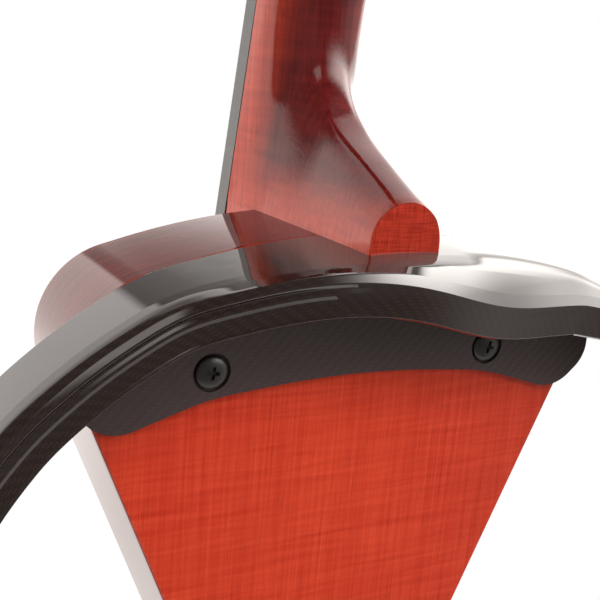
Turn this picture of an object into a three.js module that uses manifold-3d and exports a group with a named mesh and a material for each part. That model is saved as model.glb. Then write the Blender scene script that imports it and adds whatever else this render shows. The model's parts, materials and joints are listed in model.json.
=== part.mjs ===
// Electric cello: a slim maple core held in a moulded carbon frame, in millimetres.
// +Z runs up the instrument to the scroll, the strings face -Y and the back faces +Y.
// The treble side is +X. The origin is the flat underside of the endpin's rubber foot, pushed in.
import * as THREE from "three";
import { mergeVertices } from "three/addons/utils/BufferGeometryUtils.js";
import Module from "manifold-3d";

const wasm = await Module();
wasm.setup();

// Shared clearances
const seatGap = 0.3;
const cutOverrun = 3;
const arcStepShare = 1 / 40;
const boreSides = 20;
const turnedSides = 14;
const smallSides = 10;

// Core: the wooden body, measured from its shoulder crest at z = 0 and its back at y = 0
const coreLength = 750;
const coreDepth = 50;
const coreEdgeRound = 1.2;
const crownRadius = 278;
const crownSlope = THREE.MathUtils.degToRad(15);
const shoulderPointHalfWidth = 115.8;
const shoulderCornerRadius = 32;
const upperTaper = THREE.MathUtils.degToRad(22.8);
const stemHalfWidth = 46;
const upperWaistRadius = 130;
const lowerTaper = THREE.MathUtils.degToRad(20);
const footPointHalfWidth = 97;
const footCornerRadius = 30;
const lowerWaistRadius = 150;

// Frame: the carbon band, as a section swept round the closed outline
const lapThickness = 1.6;
const lapReach = 5;
const frameBackReach = 28;
const heelBulge = 9;
const heelBulgeWidth = 55;
const bandHeight = 17;
const rimRound = 4.5;
const rimBead = 0.9;
const rimDip = 12;
const rimDipPlace = -46;
const rimDipWidth = 46;
const plateRoom = 3.5;
const armFrontThickness = 3;
const armMidThickness = 6;
const saddleDepth = 14;
const armBlendStart = 112;
const armBlendEnd = 136;
const upperBoutHalfWidth = 170;
const waistHalfWidth = 114;
const lowerBoutHalfWidth = 220;
const frameStations = 100;

// Bracket plates and their screws
const plateThickness = 2.9;
const plateHalfLength = 108;
const plateCornerRadius = 9;
const plateEdgeInset = 8;
const plateMidHeight = 49;
const plateEndHeight = 66;
const plateEndWidth = 28;
const plateWaistRadius = 90;
const lowerPlateHalfLength = 76;
const lowerPlateMidHeight = 46;
const lowerPlateEndHeight = 58;
const screwSpacing = 115.5;
const screwDrop = 45;
const lowerScrewSpacing = 92;
const lowerScrewDrop = 40;
const screwHeadRadius = 6;
const screwHeadRim = 0.8;
const screwDome = 1.9;
const screwShankRadius = 2.5;
const screwLength = 22;
const counterboreRadius = 7;
const counterboreDepth = 1.5;
const crossArm = 2.6;
const crossWidth = 0.9;
const crossDepth = 1.2;

// Neck and heel
const neckAngle = Math.atan(0.135);
const overstand = 17;
const neckLength = 280;
const neckWidthAtNut = 31;
const neckWidthAtBody = 45;
const neckDepthAtNut = 19;
const neckDepthAtHeel = 22.5;
const buttonReach = 26;
const buttonHeight = 17.3;
const buttonWidth = 28;
const rootDrop = 68;
const rootHalfWidth = 20;
const tenonLength = 44;
const tenonHalfWidth = 15;
const tenonDrop = 58;
const rootLap = 1.5;
const heelStationsPerKey = 2;

// Pegbox, scroll and pegs, measured from the nut along the neck
const pegboxLength = 138;
const pegboxWidthAtNut = 38;
const pegboxWidthAtTop = 27;
const pegboxDepth = 30;
const pegboxLean = 14;
const pegboxWall = 7;
const pegboxFloor = 5;
const scrollRadius = 31;
const scrollTurnWidth = 27;
const scrollInnerWidth = 41;
const scrollEyeRadius = 8;
const scrollEyeWidth = 56;
const pegRadiusAtHead = 6.6;
const pegRadiusAtTip = 5.2;
const pegCollarRadius = 9;
const pegCollarLength = 3;
const pegNeckLength = 12;
const pegHeadLength = 30;
const pegHeadHalfWidth = 15;
const pegHeadThickness = 8;
const pegTipOut = 3;
const pegDepth = 15;
const firstPegAlong = 26;
const pegPitch = 30;
const pegStagger = 18;

// Fingerboard, nut and strings
const boardLength = 585;
const boardWidthAtEnd = 62;
const boardEdgeThickness = 9;
const boardArchRadius = 64;
const boardHollow = 4;
const nutLength = 6;
const nutRise = 1.2;
const stringLength = 692;
const nutSpread = 22;
const bridgeSpread = 47;
const bridgeClearance = 7.6;
const stringRadii = { a: 0.42, d: 0.5, g: 0.6, c: 0.8 };
const stringSides = 6;
const pegInsetShare = 0.5;
const pegTurnSteps = 6;
const pegTurnAngle = THREE.MathUtils.degToRad(280);

// Bridge and pickup
const bridgeFootHalfWidth = 45;
const bridgeFootThickness = 11;
const bridgeTopThickness = 3;
const bridgeTopHalfWidth = 29;
const bridgeArchRadius = 62;
const bridgeWaistHalfWidth = 21;
const bridgeLegArch = 34;
const bridgeFootHeight = 7;
const bridgeFootLength = 26;
const heartRadius = 7;
const kidneyRadius = 7.5;
const pickupThickness = 3;
const pickupWidth = 12;
const pickupRecess = 2;

// Tailpiece and its fine tuners
const tailCordSpan = 3.34;
const tailpieceTopHalfWidth = 31;
const tailpieceEndHalfWidth = 17;
const tailpieceThickness = 9;
const afterLength = 116;
const tunerSlotWidth = 4.6;
const tunerSlotStart = 8;
const tunerSlotLength = 34;
const leverThickness = 3.6;
const leverPivot = 22;
const pivotPinRadius = 1.4;
const clawHeight = 11;
const clawTip = 2.4;
const clawHalfWidth = 3.6;
const clawBack = 7;
const clawThickness = 3;
const clawSlotWidth = 2.5;
const leverTail = 30;
const leverTailDepth = 9;
const leverBar = 4;
const tunerSpread = 36;
const tunerScrewPlace = leverPivot + leverTail + leverBar / 2;
const ballRadius = 2.4;
const ballClearance = 0.55;
const tunerScrewRadius = 1.5;
const tunerScrewHead = 4.2;
const tunerScrewHeadHeight = 6;
const tunerScrewRise = 1.5;
const tailCordRadius = 1.3;
const tailCordHalfSpan = 7;
const tailCordHold = 18;
const tailArchDrop = 0.35;
const cordTurnSteps = 5;

// Saddle, endpin and its clamp
const saddleHalfWidth = 19;
const saddleHeight = 9;
const saddleRise = 7;
const endpinInset = 30;
const rodRadius = 5;
const rodLength = 455;
const rodClearance = 0.35;
const socketRadius = 13;
const socketDepth = 42;
const cordGroove = 4;
const collarRadius = 18;
const collarHeight = 14;
const footRadius = 11;
const footHeight = 22;
const thumbScrewRadius = 3;
const thumbScrewZ = -cordGroove - collarHeight / 2;
const footWall = 8;
const thumbHeadRadius = 7;
const thumbHeadLength = 9;

// Electronics in the core's back and treble side
const bayTop = 300;
const bayHeight = 156;
const bayHalfWidth = 29;
const bayDepth = 20;
const coverThickness = 2;
const coverLip = 6;
const boardInset = 8;
const circuitThickness = 1.6;
const circuitStandoff = 3;
const boardEdge = 2;
const boardRight = 17;
const postInset = 5;
const postRadius = 2;
const chipSize = 8;
const controlDepth = 11;
const controlPitch = 34;
const firstControl = 324;
const knobRadius = 9;
const knobHeight = 12;
const knobGripDepth = 0.8;
const knobGrips = 8;
const potRadius = 8;
const potDepth = 8;
const potBushRadius = 3.5;
const spindleRadius = 2;
const jackBarrelRadius = 5.6;
const jackFlangeRadius = 8;
const jackFlangeHeight = 2;
const jackBore = 3.2;
const jackDepth = 30;
const jackPlace = 424;
const phonesBarrelRadius = 3.9;
const phonesFlangeRadius = 6;
const phonesBore = 1.8;
const phonesDepth = 22;
const phonesPlace = 444;
const batteryLength = 48.5;
const batteryHeight = 26.5;
const batteryDepth = 16.5;
const batteryRoom = 2;
const batteryTop = 476;
const doorThickness = 2.4;
const doorLip = 5;
const doorHingeRadius = 2;
const hingePinRadius = 0.8;
const hingePinSeat = 3;
const latchHalfWidth = 6;
const latchDepth = 3;
const latchThickness = 1.2;
const terminalHeight = 1.5;
const terminalRadius = 3;
const terminalPitch = 6.4;
const coverScrewRadius = 1.3;
const coverScrewHead = 2.4;
const coverScrewLength = 10;
const rabbetDrop = 44;

// Colours
const mapleRed = new THREE.MeshStandardMaterial({ color: 0xa02c1a, roughness: 0.25 });
const maplePale = new THREE.MeshStandardMaterial({ color: 0xc69a63, roughness: 0.5 });
const ebony = new THREE.MeshStandardMaterial({ color: 0x24211f, roughness: 0.45 });
const carbonGloss = new THREE.MeshStandardMaterial({ color: 0x1c1b1a, roughness: 0.12 });
const carbonMatte = new THREE.MeshStandardMaterial({ color: 0x2b2826, roughness: 0.5 });
const blackOxide = new THREE.MeshStandardMaterial({ color: 0x1a1818, roughness: 0.4, metalness: 0.6 });
const steel = new THREE.MeshStandardMaterial({ color: 0xb9bcc0, roughness: 0.3, metalness: 1 });
const rubber = new THREE.MeshStandardMaterial({ color: 0x1b1b1b, roughness: 0.9 });
const plastic = new THREE.MeshStandardMaterial({ color: 0x1e1e1f, roughness: 0.45 });
const circuitGreen = new THREE.MeshStandardMaterial({ color: 0x1f5a38, roughness: 0.6 });
const cordBlack = new THREE.MeshStandardMaterial({ color: 0x222222, roughness: 0.7 });

// A closed geometry as a solid, and back.
function toSolid(geometry) {
  const bare = geometry.clone();
  bare.deleteAttribute("normal");
  bare.deleteAttribute("uv");
  const merged = mergeVertices(bare, 1e-4);
  return new wasm.Manifold(
    new wasm.Mesh({
      numProp: 3,
      vertProperties: merged.attributes.position.array,
      triVerts: new Uint32Array(merged.index.array),
    }),
  );
}

function toGeometry(solid) {
  const mesh = solid.getMesh();
  const geometry = new THREE.BufferGeometry();
  geometry.setAttribute("position", new THREE.BufferAttribute(mesh.vertProperties, mesh.numProp));
  geometry.setIndex(new THREE.BufferAttribute(mesh.triVerts, 1));
  geometry.computeVertexNormals();
  return geometry;
}

function join(...geometries) {
  return toGeometry(geometries.map(toSolid).reduce((whole, piece) => whole.add(piece)));
}

function cut(geometry, ...cutters) {
  return toGeometry(cutters.map(toSolid).reduce((left, cutter) => left.subtract(cutter), toSolid(geometry)));
}

// Simple shapes, placed by their lowest and highest corners or by an axis.
function box(low, high) {
  const size = new THREE.Vector3().subVectors(high, low);
  const middle = new THREE.Vector3().addVectors(low, high).multiplyScalar(1 / 2);
  return new THREE.BoxGeometry(size.x, size.y, size.z).translate(middle.x, middle.y, middle.z);
}

function at(x, y, z) {
  return new THREE.Vector3(x, y, z);
}

// A turned piece from [radius, height] pairs, with its axis on +Z, +Y or +X.
function turned(profile, axis = "z", sides = turnedSides) {
  const points = profile.map(([radius, height]) => new THREE.Vector2(radius, height));
  const geometry = new THREE.LatheGeometry(points, sides);
  geometry.rotateX(Math.PI / 2);
  if (axis === "y") geometry.rotateX(-Math.PI / 2);
  if (axis === "x") geometry.rotateY(Math.PI / 2);
  return geometry;
}

function rod(radius, from, to, axis = "z", sides = turnedSides) {
  return turned([[0, from], [radius, from], [radius, to], [0, to]], axis, sides);
}

// A polygon whose corners are rounded: each vertex is [x, z, radius].
function roundedOutline(vertices) {
  const points = [];
  vertices.forEach(([x, z, radius], i) => {
    const here = new THREE.Vector2(x, z);
    if (!radius) {
      points.push(here);
      return;
    }
    const [bx, bz] = vertices[(i + vertices.length - 1) % vertices.length];
    const [ax, az] = vertices[(i + 1) % vertices.length];
    const before = new THREE.Vector2(bx - x, bz - z).normalize();
    const after = new THREE.Vector2(ax - x, az - z).normalize();
    const half = Math.acos(THREE.MathUtils.clamp(before.dot(after), -1, 1)) / 2;
    const middle = before.clone().add(after).normalize();
    const centre = here.clone().addScaledVector(middle, radius / Math.sin(half));
    const start = here.clone().addScaledVector(before, radius / Math.tan(half)).sub(centre);
    const end = here.clone().addScaledVector(after, radius / Math.tan(half)).sub(centre);
    const turn = Math.atan2(start.x * end.y - start.y * end.x, start.dot(end));
    const steps = Math.max(2, Math.ceil(Math.abs(turn) / (Math.PI * 2 * arcStepShare)));
    for (let k = 0; k <= steps; k += 1) {
      points.push(start.clone().rotateAround(new THREE.Vector2(), (turn * k) / steps).add(centre));
    }
  });
  return points;
}

function mirrored(half) {
  return [...half, ...half.map(([x, z, radius]) => [-x, z, radius]).reverse()];
}

// A flat outline in x and z, as a plate from y = front to y = back.
function plateSolid(points, front, back, round = 0) {
  const shape = new THREE.Shape(points);
  const geometry = new THREE.ExtrudeGeometry(shape, {
    depth: back - front - 2 * round,
    bevelEnabled: round > 0,
    bevelThickness: round,
    bevelSize: round,
    bevelOffset: -round,
    bevelSegments: 1,
    curveSegments: 1,
  });
  return geometry.rotateX(Math.PI / 2).translate(0, back - round, 0);
}

// The surface through a row of rings with the same number of points, closed at both ends or into a loop.
function loft(rings, looped = false) {
  const count = rings[0].length;
  const positions = rings.flat().flatMap((point) => [point.x, point.y, point.z]);
  const faces = [];
  const last = looped ? rings.length : rings.length - 1;
  for (let i = 0; i < last; i += 1) {
    const here = i * count;
    const next = ((i + 1) % rings.length) * count;
    for (let j = 0; j < count; j += 1) {
      const k = (j + 1) % count;
      faces.push([here + j, here + k, next + k], [here + j, next + k, next + j]);
    }
  }
  if (!looped) {
    faces.push(...capFaces(rings[0], 0, true));
    faces.push(...capFaces(rings[rings.length - 1], (rings.length - 1) * count, false));
  }
  const corner = (index) => at(...positions.slice(3 * index, 3 * index + 3));
  const volume = faces.reduce((sum, [a, b, c]) => sum + corner(a).dot(corner(b).cross(corner(c))), 0);
  const ordered = volume < 0 ? faces.map(([a, b, c]) => [a, c, b]) : faces;
  const geometry = new THREE.BufferGeometry();
  geometry.setAttribute("position", new THREE.Float32BufferAttribute(positions, 3));
  geometry.setIndex(ordered.flat());
  geometry.computeVertexNormals();
  return geometry;
}

function capFaces(ring, offset, reversed) {
  const normal = ring.reduce((sum, point, i) => {
    const next = ring[(i + 1) % ring.length];
    return sum.add(new THREE.Vector3().crossVectors(point, next));
  }, new THREE.Vector3()).normalize();
  const across = new THREE.Vector3().subVectors(ring[1], ring[0]).normalize();
  const up = new THREE.Vector3().crossVectors(normal, across);
  const flat = ring.map((point) => new THREE.Vector2(point.dot(across), point.dot(up)));
  return THREE.ShapeUtils.triangulateShape(flat, []).map(([a, b, c]) => {
    const [p, q, r] = [flat[a], flat[b], flat[c]];
    const positive = (q.x - p.x) * (r.y - p.y) - (q.y - p.y) * (r.x - p.x) > 0;
    return (positive !== reversed ? [a, b, c] : [a, c, b]).map((index) => index + offset);
  });
}

// A route through chosen points, passed exactly, for a tube with a round section.
class Route extends THREE.Curve {
  constructor(points) {
    super();
    this.points = points;
  }

  getPoint(share) {
    const place = THREE.MathUtils.clamp(share, 0, 1) * (this.points.length - 1);
    const index = Math.min(Math.floor(place), this.points.length - 2);
    return this.points[index].clone().lerp(this.points[index + 1], place - index);
  }

  // At each point the section halves the bend.
  getTangent(share) {
    const index = Math.round(share * (this.points.length - 1));
    const here = this.points[index];
    const before = this.points[Math.max(index - 1, 0)];
    const after = this.points[Math.min(index + 1, this.points.length - 1)];
    const into = new THREE.Vector3().subVectors(here, before).normalize();
    const outOf = new THREE.Vector3().subVectors(after, here).normalize();
    return into.add(outOf).normalize();
  }

  getUtoTmapping(share) {
    return share;
  }
}

function tube(points, radius, sides = stringSides) {
  const section = new THREE.Shape(
    Array.from({ length: sides }, (_, i) => {
      const angle = (2 * Math.PI * i) / sides;
      return new THREE.Vector2(radius * Math.cos(angle), radius * Math.sin(angle));
    }),
  );
  return new THREE.ExtrudeGeometry(section, {
    steps: points.length - 1,
    extrudePath: new Route(points),
    curveSegments: 1,
  });
}

// Root group: the pieces are modelled from the shoulder crest and then stood on the endpin's foot.
const cello = new THREE.Group();
const crestHeight = coreLength + cordGroove + collarHeight + seatGap + footHeight;
const instrument = new THREE.Group();
instrument.position.set(0, endpinInset, crestHeight);
cello.add(instrument);

function piece(name, geometry, material, parent = instrument) {
  const mesh = new THREE.Mesh(geometry, material);
  mesh.name = name;
  parent.add(mesh);
  return mesh;
}

// Planes and places that several pieces share
const glueY = -coreDepth - overstand;
const pickupY = -coreDepth + pickupRecess - seatGap;
const bridgeFootY = pickupY - pickupThickness - seatGap;
const bridgeBoardTop = boardEdgeThickness + seatGap + archRise(boardWidthAtEnd / 2, 0);
const bridgeCrest = onNeck(0, -bridgeBoardTop - bridgeClearance, neckLength - stringLength);
const bridgeHeight = bridgeFootY - bridgeCrest.y;
const batteryHalf = batteryLength / 2 + batteryRoom;
const batteryFoot = batteryTop + batteryHeight + 2 * batteryRoom;
const hingeZ = -batteryFoot - doorLip + doorHingeRadius;

// The core's outline: a shallow crown, round corners, straight tapers, a straight stem and a spread foot.
const crownPoint = crownRadius * (1 / Math.cos(crownSlope) - 1);
const shoulderPointZ = crownPoint - shoulderPointHalfWidth * Math.tan(crownSlope);
const stemTopZ = shoulderPointZ - (shoulderPointHalfWidth - stemHalfWidth) / Math.tan(upperTaper);
const stemFootZ = -coreLength + (footPointHalfWidth - stemHalfWidth) / Math.tan(lowerTaper);

function coreOutline() {
  const side = [
    [shoulderPointHalfWidth, shoulderPointZ, shoulderCornerRadius],
    [stemHalfWidth, stemTopZ, upperWaistRadius],
    [stemHalfWidth, stemFootZ, lowerWaistRadius],
    [footPointHalfWidth, -coreLength, footCornerRadius],
  ];
  return roundedOutline([[0, crownPoint, crownRadius], ...mirrored(side)]);
}

function shoulderZ(x) {
  const edge = crownRadius * Math.sin(crownSlope);
  if (Math.abs(x) < edge) return Math.sqrt(crownRadius ** 2 - x ** 2) - crownRadius;
  return crownPoint - Math.abs(x) * Math.tan(crownSlope);
}

function coreSolid() {
  const blank = plateSolid(coreOutline(), -coreDepth, 0, coreEdgeRound);
  const mortise = box(
    at(-tenonHalfWidth - seatGap, -coreDepth - cutOverrun, -tenonDrop - seatGap),
    at(tenonHalfWidth + seatGap, -coreDepth + tenonLength + seatGap, cutOverrun),
  );
  const rodBore = rod(
    rodRadius + 2 * seatGap,
    -coreLength - cutOverrun,
    -coreLength + rodLength + cutOverrun,
  ).translate(0, -endpinInset, 0);
  const socketBore = rod(
    socketRadius + seatGap,
    -coreLength - cutOverrun,
    -coreLength + socketDepth + seatGap,
    "z",
    boreSides,
  ).translate(0, -endpinInset, 0);
  const bay = box(
    at(-bayHalfWidth, -bayDepth, -bayTop - bayHeight),
    at(bayHalfWidth, cutOverrun, -bayTop),
  );
  const coverSeat = box(
    at(-bayHalfWidth - coverLip, -coverThickness - seatGap, -bayTop - bayHeight - coverLip),
    at(bayHalfWidth + coverLip, cutOverrun, -bayTop + coverLip),
  );
  const batteryBay = box(
    at(-batteryHalf, -doorThickness - batteryDepth - batteryRoom, -batteryFoot),
    at(batteryHalf, cutOverrun, -batteryTop),
  );
  const doorSeat = box(
    at(-batteryHalf - doorLip, -doorThickness - seatGap, -batteryFoot - doorLip - 2 * seatGap),
    at(batteryHalf + doorLip, cutOverrun, -batteryTop + doorLip),
  );
  const hingeGroove = rod(
    doorHingeRadius + seatGap,
    -batteryHalf - doorLip,
    batteryHalf + doorLip,
    "x",
  ).translate(0, -doorHingeRadius, hingeZ);
  const hingePinHole = rod(
    hingePinRadius + seatGap,
    -batteryHalf - doorLip - hingePinSeat - seatGap,
    batteryHalf + doorLip + hingePinSeat + seatGap,
    "x",
    smallSides,
  ).translate(0, -doorHingeRadius, hingeZ);
  const backHole = (x, z, radius, depth) =>
    rod(radius + seatGap, -depth - seatGap, cutOverrun, "y", smallSides).translate(x, 0, z);
  const coverHoles = coverScrewPlaces().map(([x, z]) => backHole(x, z, coverScrewRadius, coverScrewLength));
  const pickupSeat = box(
    at(-bridgeFootHalfWidth - seatGap, -coreDepth - cutOverrun, bridgeCrest.z - pickupWidth / 2 - seatGap),
    at(bridgeFootHalfWidth + seatGap, -coreDepth + pickupRecess, bridgeCrest.z + pickupWidth / 2 + seatGap),
  );
  const screwHoles = bracketScrewPlaces().map(([x, z]) => backHole(x, z, screwShankRadius, screwLength));
  const sideHoles = controlPlaces().map(([z, radius]) =>
    rod(radius + seatGap, 0, stemHalfWidth + cutOverrun, "x").translate(0, -controlDepth, -z),
  );
  return cut(
    blank,
    mortise,
    rodBore,
    socketBore,
    bay,
    coverSeat,
    batteryBay,
    doorSeat,
    hingeGroove,
    hingePinHole,
    pickupSeat,
    shoulderRabbet(),
    ...coverHoles,
    ...screwHoles,
    ...sideHoles,
  );
}

// A step along the back edge of the shoulders, where the frame's lap lies flush with the wood.
function shoulderRabbet() {
  const edge = coreOutline().filter((point) => point.y > -rabbetDrop);
  const left = edge.filter((point) => point.x < 0).sort((a, b) => a.y - b.y || a.x - b.x);
  const right = edge.filter((point) => point.x >= 0).sort((a, b) => b.y - a.y || a.x - b.x);
  const path = [...left, ...right];
  const rings = path.map((point, i) => {
    const before = path[Math.max(i - 1, 0)];
    const after = path[Math.min(i + 1, path.length - 1)];
    const along = new THREE.Vector2().subVectors(after, before).normalize();
    const corner = (height, depth) => at(point.x - along.y * height, depth, point.y + along.x * height);
    const floor = -lapThickness - 2 * seatGap;
    return [
      corner(cutOverrun, -lapReach - seatGap),
      corner(floor, -lapReach - seatGap),
      corner(floor, cutOverrun),
      corner(cutOverrun, cutOverrun),
    ];
  });
  return loft(rings);
}

function coverScrewPlaces() {
  const x = bayHalfWidth + coverLip / 2;
  const middle = -bayTop - bayHeight / 2;
  const half = bayHeight / 2 + coverLip / 2;
  return [[x, middle + half], [-x, middle + half], [x, middle - half], [-x, middle - half]];
}

function bracketScrewPlaces() {
  const lowerZ = -coreLength + lowerScrewDrop;
  return [
    [screwSpacing / 2, -screwDrop],
    [-screwSpacing / 2, -screwDrop],
    [lowerScrewSpacing / 2, lowerZ],
    [-lowerScrewSpacing / 2, lowerZ],
  ];
}

function controlPlaces() {
  const pots = [0, 1, 2].map((i) => [firstControl + i * controlPitch, potBushRadius]);
  return [...pots, [jackPlace, jackBarrelRadius], [phonesPlace, phonesBarrelRadius]];
}

piece("body_core", coreSolid(), mapleRed);

// Frame outline, from the shoulder's crown round the treble side, the foot and the bass side.
// Below the crown each point is [share of its bout's half width, share of the frame's length].
const trebleShoulderShares = [[0.57, 0.0265], [0.688, 0.0445], [0.806, 0.069], [0.93, 0.112]];
const bassShoulderShares = [[0.53, 0.0205], [0.7, 0.0375], [0.836, 0.061], [0.942, 0.102]];
const upperBoutShares = [[1, 0.172], [0.955, 0.25], [0.82, 0.335]];
const waistShares = [[1.03, 0.415], [1, 0.47], [1.07, 0.54]];
const lowerBoutShares = [[0.69, 0.625], [0.92, 0.71], [1, 0.8], [0.95, 0.885], [0.78, 0.953], [0.52, 0.987]];
const crownShares = [0, 0.18, 0.35, 0.48];
const footShares = [0.3, 0];

function frameOutline() {
  const length = coreLength + seatGap + lapThickness;
  const crown = crownShares.map((share) => {
    const x = share * upperBoutHalfWidth;
    return [x, shoulderZ(x)];
  });
  const scaled = (shares, halfWidth) => shares.map(([x, z]) => [x * halfWidth, -z * length]);
  const shared = [
    ...scaled(upperBoutShares, upperBoutHalfWidth),
    ...scaled(waistShares, waistHalfWidth),
    ...scaled(lowerBoutShares, lowerBoutHalfWidth),
    ...footShares.map((share) => [share * lowerBoutHalfWidth, -length]),
  ];
  const treble = [...crown, ...scaled(trebleShoulderShares, upperBoutHalfWidth), ...shared];
  const bass = [...crown, ...scaled(bassShoulderShares, upperBoutHalfWidth), ...shared];
  const flipped = bass.slice(1, -1).reverse().map(([x, z]) => [-x, z]);
  const points = [...treble, ...flipped].map(([x, z]) => at(x, 0, z));
  return new THREE.CatmullRomCurve3(points, true, "centripetal");
}

// The band's section at a station: [depth in y, height along the outward normal], from the lap's front edge
// over the rolled outer surface and down the beaded rim, then back along the inner side.
function frameSection(x, z) {
  const atCrown = z > -coreLength / 4;
  const fade = THREE.MathUtils.smoothstep(Math.abs(x), armBlendStart, armBlendEnd);
  const atEnds = z > -coreLength / 4 || z < -(coreLength * 3) / 4;
  const arm = atEnds ? fade : 1;
  const bulge = atCrown ? heelBulge * Math.exp(-((x / heelBulgeWidth) ** 2)) : 0;
  const dip = atCrown ? rimDip * Math.exp(-(((x - rimDipPlace) / rimDipWidth) ** 2)) : 0;
  const back = frameBackReach + bulge;
  const mix = (saddle, wedge) => saddle + (wedge - saddle) * arm;
  return [
    [-lapReach, 0],
    [back - 3.2 * rimRound, -0.1 * dip],
    [back - 1.7 * rimRound, -0.42 * dip - 0.06 * rimRound],
    [back - 0.6 * rimRound, -0.85 * dip - 0.4 * rimRound],
    [back, -dip - rimRound],
    [back - rimBead, -dip - 1.4 * rimRound],
    [back, -dip - 1.8 * rimRound],
    [back - rimBead * 0.7, -dip - 2.4 * rimRound],
    [back - rimBead * 0.7, -dip - bandHeight + 2 * rimBead],
    [back, -dip - bandHeight + rimBead],
    [back - 2 * rimBead, -dip - bandHeight],
    [back * 0.66, mix(-dip - bandHeight + rimBead, -bandHeight + 4 * rimBead)],
    [mix(plateRoom, back * 0.25), mix(-saddleDepth, -armMidThickness)],
    [mix(plateRoom, 0), mix(-lapThickness, -armFrontThickness)],
    [-lapReach, -lapThickness],
  ];
}

function frameSolid() {
  const outline = frameOutline();
  const rings = [];
  for (let i = 0; i < frameStations; i += 1) {
    const share = i / frameStations;
    const place = outline.getPointAt(share);
    const along = outline.getTangentAt(share);
    const outward = at(-along.z, 0, along.x);
    rings.push(
      frameSection(place.x, place.z).map(([depth, height]) =>
        place.clone().addScaledVector(outward, height).setY(depth),
      ),
    );
  }
  return loft(rings, true);
}

piece("carbon_frame", frameSolid(), carbonGloss);

// Bracket plates: crescents that stand on the core's back with their outer edge under the frame.
function bracketPlate(halfLength, midHeight, endHeight, edgeZ, up) {
  const waistX = (halfLength - plateEndWidth) * 0.72;
  const inner = [
    [0, up * midHeight, 4 * plateWaistRadius],
    [waistX, up * (midHeight + (endHeight - midHeight) * 0.32), plateWaistRadius],
    [halfLength - plateEndWidth / 2, up * endHeight, plateCornerRadius],
    [halfLength, up * (endHeight - plateCornerRadius * 1.4), plateCornerRadius * 0.7],
    [halfLength, up * plateEdgeInset * 5, 0],
  ];
  const right = inner.slice(1);
  const top = [
    [halfLength * 0.86, up * plateEdgeInset * 3.2, plateCornerRadius],
    [halfLength * 0.5, up * plateEdgeInset * 1.4, 0],
  ];
  const vertices = [inner[0], ...mirrored([...right, ...top])];
  return roundedOutline(vertices).map((point) => new THREE.Vector2(point.x, edgeZ + point.y));
}

function bracketPlateSolid(outline, screws) {
  const blank = plateSolid(outline, seatGap, seatGap + plateThickness);
  const face = seatGap + plateThickness;
  const holes = screws.flatMap(([x, z]) => [
    rod(screwShankRadius + seatGap, -cutOverrun, face + cutOverrun, "y", smallSides).translate(x, 0, z),
    rod(counterboreRadius, face - counterboreDepth, face + cutOverrun, "y", boreSides).translate(x, 0, z),
  ]);
  return cut(blank, ...holes);
}

function bracketScrew() {
  const seat = seatGap + plateThickness - counterboreDepth + seatGap / 2;
  const rimTop = seat + screwHeadRim;
  const shank = [[0, -screwLength], [screwShankRadius, -screwLength], [screwShankRadius, seat]];
  const head = [[screwHeadRadius, seat], [screwHeadRadius, rimTop]];
  const domeSteps = 3;
  for (let i = 1; i <= domeSteps; i += 1) {
    const angle = (Math.PI / 2) * (i / domeSteps);
    head.push([screwHeadRadius * Math.cos(angle), rimTop + screwDome * Math.sin(angle)]);
  }
  head[head.length - 1][0] = 0;
  const top = rimTop + screwDome;
  const slots = [
    box(at(-crossArm, top - crossDepth, -crossWidth / 2), at(crossArm, top + cutOverrun, crossWidth / 2)),
    box(at(-crossWidth / 2, top - crossDepth, -crossArm), at(crossWidth / 2, top + cutOverrun, crossArm)),
  ];
  return cut(turned([...shank, ...head], "y"), ...slots);
}

const [upperTreble, upperBass, lowerTreble, lowerBass] = bracketScrewPlaces();
const upperPlateOutline = bracketPlate(plateHalfLength, plateMidHeight, plateEndHeight, 0, -1);
const lowerPlateOutline = bracketPlate(
  lowerPlateHalfLength,
  lowerPlateMidHeight,
  lowerPlateEndHeight,
  -coreLength,
  1,
);
piece("upper_bracket_plate", bracketPlateSolid(upperPlateOutline, [upperTreble, upperBass]), carbonMatte);
piece("lower_bracket_plate", bracketPlateSolid(lowerPlateOutline, [lowerTreble, lowerBass]), carbonMatte);
const bracketScrews = {
  upper_screw_treble: upperTreble,
  upper_screw_bass: upperBass,
  lower_screw_treble: lowerTreble,
  lower_screw_bass: lowerBass,
};
for (const [name, [x, z]] of Object.entries(bracketScrews)) {
  piece(name, bracketScrew(), blackOxide).position.set(x, 0, z);
}

// Neck frame: s runs up the neck along the glue plane and d runs from that plane towards the back.
function onNeck(x, d, s) {
  return at(
    x,
    glueY + d * Math.cos(neckAngle) + s * Math.sin(neckAngle),
    s * Math.cos(neckAngle) - d * Math.sin(neckAngle),
  );
}

function neckMatrix() {
  return new THREE.Matrix4()
    .makeTranslation(0, glueY, 0)
    .multiply(new THREE.Matrix4().makeRotationX(-neckAngle));
}

function neckWidth(s) {
  return neckWidthAtBody + (neckWidthAtNut - neckWidthAtBody) * (s / neckLength);
}

// Half widths of the neck's section by height, as shares of the section's base and depth.
const sectionHeightShares = [0, 0.15, 0.32, 0.5, 0.66, 0.8, 0.9, 0.965, 1];
const buttonWidthShares = [1, 1, 0.985, 0.93, 0.83, 0.67, 0.5, 0.33, 0.14];
const heelWidthShares = [1, 0.9, 0.79, 0.68, 0.575, 0.475, 0.39, 0.3, 0.17];
const neckWidthShares = [1, 0.995, 0.965, 0.89, 0.78, 0.62, 0.45, 0.28, 0.1];

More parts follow.
